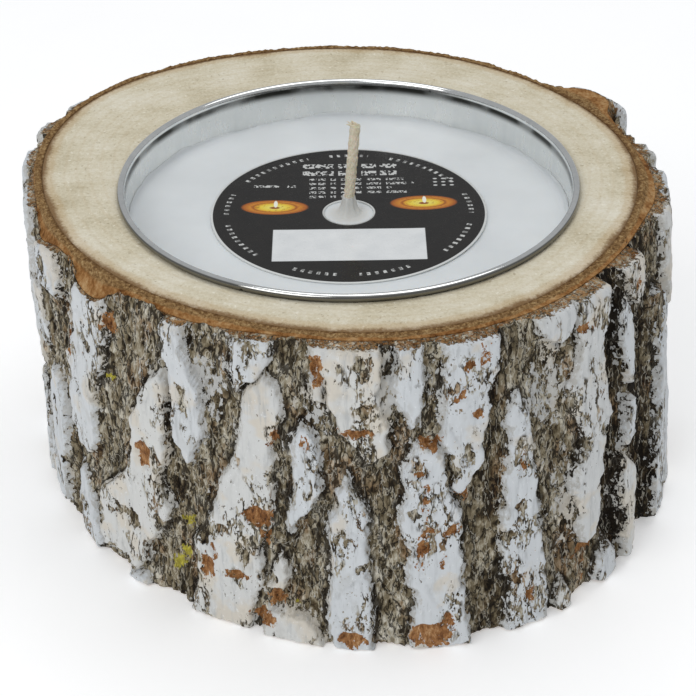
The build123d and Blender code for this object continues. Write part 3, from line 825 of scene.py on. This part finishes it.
def make_wick():
    """A braided cotton wick stiff with wax, curled over and frayed at its tip."""
    foot = CUP_FLOOR + 0.9 - WAX_TOP
    heights = np.concatenate([np.linspace(foot, 0.0, 14), np.linspace(0.4, 23.2, 92)])
    line = [wick_line(height) for height in heights]
    radii = [1.13 + 0.05 * math.sin(0.9 * k) + 0.04 * math.sin(0.37 * k + 1.0) for k in range(len(line))]
    parts = [tube("core", line, radii, 28, 0.025, 3, twist=0.32, lobes=6, lobe_depth=0.13)]
    top = line[-1]
    chance = random.Random(8)
    for k in range(13):
        turn = 2 * math.pi * k / 13 + chance.uniform(-0.3, 0.3)
        start = top + np.array([0.62 * math.cos(turn), 0.62 * math.sin(turn), -0.7])
        length = chance.uniform(1.2, 2.6)
        sweep = chance.uniform(0.5, 1.5)
        strand = []
        for step_index in range(9):
            t = step_index / 8
            bend = np.array([-sweep * t * t * length * 0.62, 0.25 * math.sin(turn) * t, 0.0])
            strand.append(start + np.array([0, 0, length * t * (1 - 0.35 * t)]) + bend)
        width = [0.30 * (1 - 0.75 * step_index / 8) + 0.03 for step_index in range(9)]
        parts.append(tube("strand", strand, width, 8, 0.1, 20 + k))
    return join("braided_wick", parts)


# ---------------------------------------------------------------- materials
def rgb(red, green, blue):
    """Linear colour from the usual 0 to 255 values."""
    out = []
    for value in (red, green, blue):
        value = value / 255.0
        out.append(value / 12.92 if value <= 0.04045 else ((value + 0.055) / 1.055) ** 2.4)
    return (*out, 1.0)


class Shader:
    """A material under construction: each method adds a node and returns its output."""

    def __init__(self, name, **constants):
        self.material = bpy.data.materials.new(name)
        self.material.use_nodes = True
        self.nodes = self.material.node_tree.nodes
        self.links = self.material.node_tree.links
        self.surface = self.nodes["Principled BSDF"]
        for socket, value in constants.items():
            self.surface.inputs[socket.replace("_", " ")].default_value = value

    def put(self, value, socket):
        if isinstance(value, bpy.types.NodeSocket):
            self.links.new(value, socket)
        else:
            socket.default_value = value

    def set(self, socket, value):
        self.put(value, self.surface.inputs[socket])

    def node(self, kind, *values, **named):
        """A new node, its first inputs set in order and the others by name."""
        node = self.nodes.new("ShaderNode" + kind)
        for value, socket in zip(values, node.inputs):
            self.put(value, socket)
        for name, value in named.items():
            self.put(value, node.inputs[name])
        return node

    def math(self, operation, first, *others):
        """One operation, applied with each further value in turn."""
        for other in others or (0.0,):
            node = self.node("Math", first, other)
            node.operation = operation
            first = node.outputs[0]
        return first

    def sum(self, *values):
        return self.math("ADD", *values)

    def times(self, *values):
        return self.math("MULTIPLY", *values)

    def most(self, *values):
        return self.math("MAXIMUM", *values)

    def rest(self, value):
        return self.math("SUBTRACT", 1.0, value)

    def spread(self, value, amount):
        """Noise turned into a signed amount about zero."""
        return self.times(self.math("SUBTRACT", value, 0.5), amount)

    def span(self, value, low, high, to_low=0.0, to_high=1.0):
        """Maps a value smoothly from one range to another."""
        node = self.node("MapRange", value, low, high, to_low, to_high)
        node.interpolation_type = "SMOOTHSTEP"
        return node.outputs[0]

    def attribute(self, name):
        node = self.node("Attribute")
        node.attribute_name = name
        return node.outputs["Fac"]

    def place(self, x=1.0, y=1.0, z=1.0, shift=(0.0, 0.0, 0.0)):
        """The piece's own coordinates in mm, each axis stretched by a factor."""
        where = self.node("TexCoord").outputs["Object"]
        scale = (x / MM, y / MM, z / MM)
        return self.node("Mapping", where, Location=shift, Scale=scale).outputs[0]

    def noise(self, where, size, detail=2.0, roughness=0.55):
        node = self.node("TexNoise", Vector=where, Scale=1.0 / size, Detail=detail, Roughness=roughness)
        return node.outputs["Fac"]

    def grain(self, tall, shift, size, detail=2.0, roughness=0.55):
        """Noise over the piece, drawn out along its height where tall is under 1."""
        return self.noise(self.place(1.0, 1.0, tall, shift), size, detail, roughness)

    def mix(self, part, first, second):
        node = self.node("Mix")
        node.data_type = "RGBA"
        for socket, value in ((0, part), (6, first), (7, second)):
            self.put(value, node.inputs[socket])
        return node.outputs[2]

    def ramp(self, part, *stops):
        """Colours along a value, each stop given as (value, red, green, blue)."""
        node = self.node("ValToRGB", part)
        elements = node.color_ramp.elements
        while len(elements) < len(stops):
            elements.new(1.0)
        for element, (position, *colour) in zip(elements, stops):
            element.position = position
            element.color = rgb(*colour)
        return node.outputs[0]

    def bump(self, height, distance, strength):
        node = self.node("Bump", Strength=strength, Distance=distance * MM, Height=height)
        self.put(node.outputs[0], self.surface.inputs["Normal"])


def slab_colour(m):
    """Smooth orange-brown bast, streaked along the cut."""
    streak = m.grain(0.6, (3, 1, 9), 0.9, 3.0, 0.65)
    broad = m.grain(1, (7, 7, 7), 4.0, 3.0, 0.6)
    return m.ramp(
        m.sum(m.times(streak, 0.5), m.times(broad, 0.6)),
        (0.36, 90, 52, 20), (0.47, 134, 90, 46), (0.58, 166, 122, 74), (0.74, 198, 164, 118),
    )


def thin_line(m, where, size, width):
    """A squiggly line wherever the noise crosses its middle."""
    away = m.math("ABSOLUTE", m.math("SUBTRACT", m.noise(where, size, 3.0, 0.6), 0.5))
    return m.span(away, width, 0.4 * width)


def cork_colour(m, fibres, coarse, patchy, inside):
    """Grey-brown cork, and where it is creased, with painted shade in its grooves, its deep furrows and at
    the plates' feet.
    """
    # Painted shade: the ridge mask lightens the raised cords and darkens the grooves and deep furrows.
    level = m.sum(m.times(m.attribute("ridge"), 0.75), fibres, m.times(coarse, 1.05), -0.92)
    cork = m.ramp(
        level,
        (0.06, 24, 18, 10), (0.22, 66, 55, 38), (0.38, 108, 97, 75),
        (0.54, 140, 129, 106), (0.72, 178, 171, 153), (0.90, 216, 211, 198),
    )
    brown = m.ramp(level, (0.15, 48, 28, 12), (0.55, 140, 102, 62), (0.9, 190, 160, 124))
    warm = m.span(m.grain(0.5, (3, 60, 1), 6.0, 2.0), 0.52, 0.68)
    cork = m.mix(m.times(warm, 0.55), cork, brown)
    fine = thin_line(m, m.place(1, 1, 0.42), 2.2, 0.030)
    creases = m.most(fine, thin_line(m, m.place(1, 1, 0.3, (2, 9, 4)), 5.0, 0.026))
    cork = m.mix(m.times(creases, 0.85), cork, rgb(26, 20, 12))
    threads = thin_line(m, m.place(1, 1, 0.22, (17, 3, 6)), 2.4, 0.02)
    cork = m.mix(m.times(threads, 0.55), cork, rgb(214, 208, 192))
    # Painted shade: a patchy dark line in the furrow at the foot of each plate.
    gap = m.times(m.span(inside, -2.0, -1.1), m.span(inside, 0.3, -0.3))
    dark = m.times(gap, m.span(patchy, 0.42, 0.54, 0.0, 0.85))
    return m.mix(dark, cork, rgb(30, 23, 14)), creases


def paint_mask(m, edge, inside, crisp, flecks, patchy):
    """Paint on the plates less its cracks, spots and gouges, and flecks of it in the furrows."""
    cracked = thin_line(m, m.place(1, 1, 0.4, (5, 15, 25)), 2.8, 0.050)
    bare_line = m.times(cracked, m.span(patchy, 0.51, 0.56))
    bare_spot = m.span(m.sum(flecks, m.times(patchy, 0.5)), 0.875, 0.885)
    gouge_edge = m.sum(m.attribute("gouge"), m.spread(crisp, 2.4), m.spread(flecks, 2.4))
    bare = m.most(bare_line, bare_spot, m.span(gouge_edge, 0.0, 0.08))
    painted = m.times(m.span(edge, -0.55, -0.47), m.rest(bare))
    chance = m.sum(
        m.times(m.attribute("flecked"), 0.155),
        m.span(inside, -3.0, -0.5, 0.0, 0.045),
        m.times(m.attribute("ridge"), 0.09),
        m.times(flecks, 0.4),
        m.times(m.grain(0.6, (3, 30, 3), 2.8, 3.0, 0.7), 0.6),
    )
    return m.most(painted, m.span(chance, 0.690, 0.702))


def paint_colour(m, edge, crisp, brush):
    """Bluish white paint, greyer where it is thin and creamier in broad patches."""
    tone = m.attribute("tone")
    white = m.mix(m.span(tone, 0.5, 1.0, 0.0, 0.6), rgb(210, 214, 217), rgb(215, 213, 206))
    cream = m.span(m.sum(m.noise(m.place(), 9.0, 3.0), m.times(tone, 0.12)), 0.60, 0.72)
    clouds = m.grain(0.6, (12, 2, 2), 5.0, 3.0, 0.6)
    for part, colour in (
        (m.times(cream, 0.6), rgb(214, 203, 184)),
        (m.span(brush, 0.50, 0.72, 0.0, 0.55), rgb(170, 173, 174)),
        (m.span(clouds, 0.55, 0.72, 0.0, 0.35), rgb(178, 178, 174)),
        (m.span(edge, 0.5, -0.15, 0.0, 0.4), rgb(160, 152, 136)),
        (m.span(crisp, 0.64, 0.72, 0.0, 0.6), rgb(240, 242, 244)),
    ):
        white = m.mix(part, white, colour)
    return white


def chip_mask(m, inside, ragged, crisp, flecks):
    """Ragged patches where a plate has split off down to orange bark."""
    chip_edge = m.sum(m.attribute("chip"), m.spread(ragged, 3.4), m.spread(crisp, 1.6))
    chip = m.times(m.span(chip_edge, 0.0, 0.10), m.span(inside, -5.0, -3.5))
    return m.times(chip, m.span(flecks, 0.66, 0.62))


def bark_material():
    """Fibrous grey-brown cork with chalky white paint on the plates, chipped to orange."""
    m = Shader("whitewashed_bark", Roughness=0.85, Specular_IOR_Level=0.25)
    fibres = m.grain(0.42, (0, 0, 0), 0.95, 3.0, 0.72)
    coarse = m.grain(0.5, (8, 3, 1), 2.6, 3.0, 0.6)
    ragged = m.noise(m.place(1, 1, 0.7), 1.7, 3.0, 0.68)
    crisp = m.grain(0.6, (9, 4, 2), 0.8, 2.0, 0.6)
    flecks = m.grain(0.5, (31, 7, 3), 0.95, 3.0, 0.68)
    patchy = m.grain(0.6, (50, 20, 9), 8.0, 2.0, 0.5)
    brush = m.grain(0.14, (2, 2, 2), 1.3, 4.0, 0.65)
    inside = m.attribute("inside")
    edge = m.sum(inside, m.spread(ragged, 4.4), m.spread(crisp, 1.4))
    sawn_through = m.span(m.sum(m.attribute("cut"), m.spread(crisp, 1.0)), 0.20, 0.34)
    painted = m.times(paint_mask(m, edge, inside, crisp, flecks, patchy), m.rest(sawn_through))
    cork, creases = cork_colour(m, fibres, coarse, patchy, inside)
    rust = m.ramp(
        m.grain(0.45, (6, 6, 6), 1.0, 3.0, 0.7),
        (0.30, 70, 40, 18), (0.43, 126, 82, 44), (0.56, 158, 112, 68), (0.74, 200, 164, 122),
    )
    moss = m.span(m.sum(m.attribute("lichen"), m.spread(crisp, 4.4)), 0.3, 0.6)
    moss_colour = m.ramp(flecks, (0.3, 112, 98, 26), (0.65, 200, 190, 72))
    sawn = m.mix(m.span(fibres, 0.4, 0.6), slab_colour(m), cork)

    colour = m.mix(painted, cork, paint_colour(m, edge, crisp, brush))
    colour = m.mix(chip_mask(m, inside, ragged, crisp, flecks), colour, rust)
    colour = m.mix(m.times(moss, 0.9), colour, moss_colour)
    colour = m.mix(m.times(sawn_through, 0.85), colour, sawn)
    # Painted shade: near black in the hollow by the knob.
    colour = m.mix(m.span(m.attribute("hollow"), 0.35, 0.75), colour, rgb(30, 24, 18))
    m.set("Base Color", colour)
    m.set("Roughness", m.span(painted, 0.0, 1.0, 0.92, 0.70))
    rough_height = m.sum(
        m.times(m.sum(fibres, coarse), m.rest(painted), 0.8),
        m.times(painted, 0.50),
        m.times(brush, 0.12),
        m.times(creases, m.rest(painted), -0.6),
    )
    m.bump(rough_height, 0.55, 0.9)
    return m.material


def bast_material():
    """Brown bast: hairy and golden beside the wood, orange-brown on the sloping cut."""
    m = Shader("brown_bast", Roughness=0.9, Specular_IOR_Level=0.2)
    hair = m.noise(m.place(1, 1, 1), 0.75, 3.0, 0.72)
    broad = m.grain(1, (7, 7, 7), 3.0, 3.0, 0.6)
    sawn = m.ramp(
        m.sum(m.times(hair, 0.8), m.times(broad, 0.25)),
        (0.34, 78, 52, 26), (0.46, 122, 92, 56), (0.56, 152, 120, 78), (0.68, 184, 156, 112),
        (0.80, 216, 196, 158),
    )
    dark = m.span(m.sum(m.attribute("across"), m.spread(hair, 0.6)), 0.30, 0.02)
    sawn = m.mix(m.times(dark, 0.6), sawn, rgb(88, 58, 28))
    m.set("Base Color", m.mix(m.span(m.attribute("sloped"), 0.05, 0.35), sawn, slab_colour(m)))
    m.bump(m.sum(hair, m.times(broad, 0.5)), 0.5, 0.9)
    return m.material


def wood_material():
    """Pale rough-sawn wood that darkens to tan at the cambium."""
    m = Shader("sawn_wood", Roughness=0.82, Specular_IOR_Level=0.3)
    even = m.place()
    fuzz = m.noise(even, 0.8, 3.0, 0.7)
    cloudy = m.grain(1, (4, 9, 2), 14.0, 3.0, 0.6)
    saw = m.noise(m.place(0.16, 1.0, 1.0), 1.1, 3.0, 0.6)
    base = m.ramp(
        m.sum(m.times(cloudy, 0.55), m.times(fuzz, 0.40), m.times(saw, 0.15)),
        (0.38, 196, 184, 154), (0.54, 223, 214, 189), (0.70, 238, 232, 214),
    )
    light = m.span(m.grain(1, (60, 1, 4), 1.0, 2.0), 0.64, 0.70)
    base = m.mix(m.times(light, 0.6), base, rgb(250, 245, 228))
    pore = m.span(m.grain(1, (1, 80, 4), 1.1, 2.0), 0.66, 0.72)
    base = m.mix(m.times(pore, 0.45), base, rgb(160, 142, 108))
    rings = m.math("SINE", m.sum(m.times(m.attribute("edge"), 2.1), m.times(cloudy, 5.0)))
    base = m.mix(m.span(rings, 0.4, 1.0, 0.0, 0.12), base, rgb(196, 172, 130))
    edge = m.sum(m.attribute("edge"), m.spread(fuzz, 1.8), m.spread(cloudy, 3.0))
    base = m.mix(m.span(edge, 1.2, 4.2, 0.45, 0.0), base, rgb(190, 156, 104))
    base = m.mix(m.span(edge, 0.2, 1.7, 0.85, 0.0), base, rgb(120, 86, 46))
    m.set("Base Color", base)
    m.bump(m.sum(m.times(fuzz, 0.7), m.times(saw, 0.6)), 0.3, 0.8)
    return m.material


def cup_distance(m):
    """Distance in mm from the tin's middle line, height, and the two level coordinates."""
    x, y, z = m.node("SeparateXYZ", m.place(1, 1, 1, (-CUP_X, -CUP_Y, 0.0))).outputs
    return m.math("SQRT", m.sum(m.times(x, x), m.times(y, y))), z, x, y


def tin_material():
    """Bright tinplate: a shining bead with painted shade under it and on its outer edge, and a smooth wall
    with faint streaks.
    """
    m = Shader("tinplate", Metallic=1.0)
    apart, height, _, _ = cup_distance(m)
    stain = m.noise(m.place(), 7.0, 3.0, 0.6)
    drawn = m.noise(m.place(1, 1, 0.16), 1.6, 3.0, 0.6)
    patina = m.sum(m.times(stain, 0.6), m.times(drawn, 0.4))
    base = m.ramp(patina, (0.35, 222, 224, 223), (0.65, 240, 241, 239))
    # Painted shadow: a dark band on the inner wall just under the bead, patchy in strength.
    under_bead_shade = m.times(
        m.span(height, RIM_TOP - 3.8, RIM_TOP - 2.0), m.span(height, RIM_TOP - 1.1, RIM_TOP - 1.5)
    )
    shade_strength = m.span(m.grain(1, (3, 3, 3), 12.0, 2.0), 0.38, 0.56, 0.65, 1.0)
    base = m.mix(m.times(under_bead_shade, shade_strength), base, rgb(58, 58, 54))
    # Painted shade and reflection: the bead's outermost edge darkened to a dull olive.
    outside = m.span(apart, RIM_RADIUS - 0.42, RIM_RADIUS - 0.20)
    base = m.mix(m.times(outside, 0.85), base, rgb(84, 80, 68))
    nick = m.span(m.grain(1, (8, 1, 5), 3.5, 1.0), 0.74, 0.77)
    on_bead = m.span(height, RIM_TOP - 1.6, RIM_TOP - 1.4)
    base = m.mix(m.times(nick, on_bead), base, rgb(40, 38, 34))
    m.set("Base Color", base)
    dull = m.span(m.sum(stain, drawn), 0.7, 1.3, 0.10, 0.22)
    m.set("Roughness", m.sum(0.08, m.times(dull, m.rest(on_bead))))
    m.bump(m.sum(m.times(drawn, 0.5), stain), 0.015, 0.4)
    return m.material


def wax_material():
    """Bluish white paraffin, slightly translucent."""
    m = Shader(
        "paraffin_wax",
        Roughness=0.34,
        Subsurface_Weight=0.35,
        Subsurface_Scale=0.004,
        Subsurface_Radius=(1.0, 0.9, 0.8),
        Specular_IOR_Level=0.4,
    )
    cloud = m.noise(m.place(), 18.0, 3.0, 0.5)
    grain = m.grain(1, (5, 5, 5), 1.0, 2.0, 0.5)
    base = m.ramp(cloud, (0.3, 226, 230, 231), (0.7, 236, 240, 241))
    apart, _, _, _ = cup_distance(m)
    base = m.mix(m.span(apart, 6.2, 3.4, 0.0, 0.55), base, rgb(206, 202, 192))
    m.set("Base Color", base)
    m.set("Roughness", m.span(m.sum(cloud, grain), 0.8, 1.2, 0.28, 0.42))
    m.bump(m.sum(cloud, m.times(grain, 0.1)), 0.15, 0.4)
    return m.material


def wick_material():
    m = Shader("waxed_cotton", Roughness=0.75, Subsurface_Weight=0.15, Subsurface_Scale=0.001)
    thread = m.noise(m.place(1, 1, 0.5), 0.25, 3.0, 0.7)
    soil = m.grain(0.6, (3, 3, 3), 2.5, 2.0)
    base = m.ramp(thread, (0.3, 206, 190, 158), (0.5, 232, 221, 196), (0.7, 244, 238, 222))
    m.set("Base Color", m.mix(m.span(soil, 0.5, 0.75, 0.0, 0.4), base, rgb(214, 200, 168)))
    m.bump(thread, 0.12, 0.6)
    return m.material


def tab_material():
    m = Shader("stamped_tab", Metallic=1.0)
    scuff = m.noise(m.place(), 1.2, 3.0)
    m.set("Base Color", m.ramp(scuff, (0.3, 150, 150, 150), (0.7, 190, 190, 190)))
    m.set("Roughness", m.span(scuff, 0.3, 0.7, 0.3, 0.5))
    return m.material


def oval_at(m, x, y, cx, cy, rx, ry):
    """0 in the middle of an oval and 1 on its outline."""
    dx = m.math("DIVIDE", m.math("SUBTRACT", x, cx), rx)
    dy = m.math("DIVIDE", m.math("SUBTRACT", y, cy), ry)
    return m.math("SQRT", m.sum(m.times(dx, dx), m.times(dy, dy)))


def box_at(m, x, y, left, right, low, high, soft=0.08):
    """1 inside an upright box with slightly soft sides."""
    sides = ((x, left, soft), (x, right, -soft), (y, low, soft), (y, high, -soft))
    return m.times(*[m.span(value, side - blur, side + blur) for value, side, blur in sides])


def glowing_pools(m, x, y, colour):
    """Two oval pools of yellow and orange, each with a small pale flame."""
    for cx, cy in ((-17.7, 2.7), (18.0, 4.2)):
        glow = oval_at(m, x, y, cx, cy, 8.3, 3.7)
        pool = m.ramp(
            glow,
            (0.0, 244, 236, 130), (0.40, 240, 212, 70), (0.56, 222, 160, 44),
            (0.62, 160, 84, 26), (0.70, 214, 140, 44), (0.92, 170, 92, 30),
        )
        mottle = m.span(m.noise(m.place(), 0.7, 2.0), 0.56, 0.68, 0.0, 0.5)
        pool = m.mix(mottle, pool, rgb(150, 76, 24))
        shade = oval_at(m, x, y, cx, cy - 0.2, 1.5, 0.7)
        flame = oval_at(m, x, y, cx + 0.2, cy + 1.6, 0.55, 1.9)
        colour = m.mix(m.span(glow, 1.0, 0.9), colour, pool)
        colour = m.mix(m.span(shade, 1.0, 0.6), colour, rgb(150, 84, 30))
        colour = m.mix(m.span(flame, 1.0, 0.7), colour, rgb(250, 250, 235))
    return colour


def plain_marks(m, apart, x, y):
    """Rows of broken bars, a ring of dashes and a block of dots."""
    word = m.span(m.noise(m.place(1.0, 0.001, 0.001), 2.6, 0.0), 0.40, 0.42)
    small_word = m.span(m.noise(m.place(1.0, 0.001, 0.001, (40, 0, 0)), 2.2, 0.0), 0.42, 0.44)
    bits = m.span(m.noise(m.place(1.0, 0.75, 1.0, (2, 8, 1)), 0.85, 1.0), 0.47, 0.50)
    small_bits = m.span(m.noise(m.place(1.0, 0.8, 1.0, (9, 2, 1)), 0.55, 1.0), 0.48, 0.51)
    large = m.times(word, bits)
    small = m.times(small_word, small_bits)
    marks = []
    for low, high in ((22.4, 24.6), (18.6, 20.9)):
        marks.append(m.times(box_at(m, x, y, -11.2, 13.0, low, high), large))
    for row, right in enumerate((13.5, 16.0, 10.5, 14.5, 1.5)):
        low = 16.0 - 2.2 * row
        marks.append(m.times(box_at(m, x, y, -9.5, right, low, low + 1.1), small))
    marks.append(m.times(box_at(m, x, y, -23.0, -12.8, 12.6, 13.7), small))
    for row in range(3):
        for column in range(3):
            dot = oval_at(m, x, y, 21.2 + 2.0 * column, 13.0 + 1.7 * row, 0.6, 0.4)
            marks.append(m.span(dot, 1.0, 0.7))
    turn = m.math("ARCTAN2", y, x)
    dash = m.math("SINE", m.times(turn, 96.0))
    pause = m.math("SINE", m.sum(m.times(turn, 9.0), m.math("SINE", m.times(turn, 4.0))))
    band = m.times(m.span(apart, 28.5, 28.6), m.span(apart, 29.8, 29.7))
    ring = m.times(m.span(dash, 0.1, 0.4), m.span(pause, -0.6, -0.5))
    return m.most(*marks, m.times(band, ring, m.span(bits, 0.0, 1.0, 0.35, 1.0)))


def label_material():
    """Black coated card printed with two glowing pools, a blank panel and rows of plain marks."""
    m = Shader("printed_card", Specular_IOR_Level=0.35)
    apart, _, x, y = cup_distance(m)
    colour = m.ramp(m.noise(m.place(), 3.0, 3.0), (0.3, 22, 20, 18), (0.7, 30, 27, 24))
    colour = glowing_pools(m, x, y, colour)
    colour = m.mix(m.times(plain_marks(m, apart, x, y), 0.80), colour, rgb(232, 233, 230))
    paper = m.ramp(m.noise(m.place(), 6.0, 2.0), (0.3, 226, 229, 230), (0.7, 238, 240, 240))
    colour = m.mix(box_at(m, x, y, -17.8, 17.8, -22.8, -8.2, 0.1), colour, paper)
    trim = m.most(m.span(apart, 32.3, 32.45), m.span(apart, 6.35, 6.2))
    colour = m.mix(trim, colour, rgb(224, 226, 224))
    m.set("Base Color", colour)
    m.set("Roughness", m.span(m.noise(m.place(), 2.0, 3.0), 0.3, 0.7, 0.24, 0.36))
    m.bump(m.noise(m.place(), 5.0, 2.0), 0.03, 0.4)
    return m.material


def floor_material():
    m = Shader("pale_floor", Roughness=0.7, Emission_Color=(1.0, 1.0, 1.0, 1.0), Emission_Strength=0.32)
    cloud = m.noise(m.place(), 60.0, 2.0)
    m.set("Base Color", m.ramp(cloud, (0.3, 246, 246, 246), (0.7, 248, 248, 248)))
    return m.material


# ---------------------------------------------------------------- the pieces
def place_piece(piece, material, body, slot, *nodes):
    piece.data.materials.append(material)
    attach(piece, body)
    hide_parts(*nodes)


def build_pieces():
    place_piece(make_wood(), wood_material(), "holder", "sawn_wood", "wood_core")
    place_piece(make_bast(), bast_material(), "holder", "bast", "inner_bark")
    place_piece(make_bark(), bark_material(), "holder", "whitewashed_bark", "outer_bark", "bark_plates")
    place_piece(make_cup(), tin_material(), "refill", "tinplate", "tin_cup")
    place_piece(make_wax(), wax_material(), "refill", "wax", "wax_fill")
    place_piece(make_wick(), wick_material(), "refill", "wick_cotton", "wick")
    place_piece(make_label(), label_material(), "label", "label_card", "label")
    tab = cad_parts["wick_tab"]
    tab.data.materials.clear()
    tab.data.materials.append(tab_material())


# ---------------------------------------------------------------- camera, light and floor
VIEW_LENS = 101.2                 # mm on a 36 mm wide sensor
VIEW_DISTANCE = 487.0
VIEW_ELEVATION = 32.87
VIEW_ROLL = -0.734
VIEW_TARGET = (CUP_X - 0.61, CUP_Y, 33.66)
LIGHT_AIM = 0.04                  # metres above the floor
FLOOR_REACH = 6.0                 # metres


def add_camera():
    rise = math.radians(VIEW_ELEVATION)
    roll = math.radians(VIEW_ROLL)
    back = Vector((0.0, -math.cos(rise), math.sin(rise)))
    level = Vector((1.0, 0.0, 0.0))
    up = back.cross(level)
    right = math.cos(roll) * level + math.sin(roll) * up
    top = -math.sin(roll) * level + math.cos(roll) * up
    data = bpy.data.cameras.new("camera")
    data.lens = VIEW_LENS
    data.sensor_width = 36.0
    data.clip_start = 0.01
    camera = add_object("camera", data)
    rotation = Matrix((right, top, back)).transposed().to_4x4()
    position = (Vector(VIEW_TARGET) + VIEW_DISTANCE * back) * MM
    camera.matrix_world = Matrix.Translation(position) @ rotation
    bpy.context.scene.camera = camera


def add_softbox(name, place, size, watts):
    data = bpy.data.lights.new(name, "AREA")
    data.shape = "RECTANGLE"
    data.size, data.size_y = size
    data.energy = watts
    light = add_object(name, data)
    light.location = place
    aim = Vector((0.0, 0.0, LIGHT_AIM)) - Vector(place)
    light.rotation_euler = aim.to_track_quat("-Z", "Y").to_euler()


def add_studio():
    world = bpy.data.worlds.new("studio")
    world.use_nodes = True
    bpy.context.scene.world = world
    background = world.node_tree.nodes["Background"]
    background.inputs["Color"].default_value = (0.95, 0.97, 1.0, 1.0)
    background.inputs["Strength"].default_value = 0.42
    add_softbox("key", (-0.55, -0.75, 0.95), (0.7, 0.7), 4.6)
    add_softbox("top", (0.15, 0.25, 1.1), (0.9, 0.6), 3.0)
    mesh = bpy.data.meshes.new("floor")
    corners = [(x * FLOOR_REACH, y * FLOOR_REACH, 0) for x, y in ((-1, -1), (1, -1), (1, 1), (-1, 1))]
    mesh.from_pydata(corners, [], [(0, 1, 2, 3)])
    mesh.materials.append(floor_material())
    floor = add_object("floor", mesh)
    bpy.context.scene.view_settings.view_transform = "Standard"


add_camera()
add_studio()
build_pieces()

bpy.context.view_layer.update()
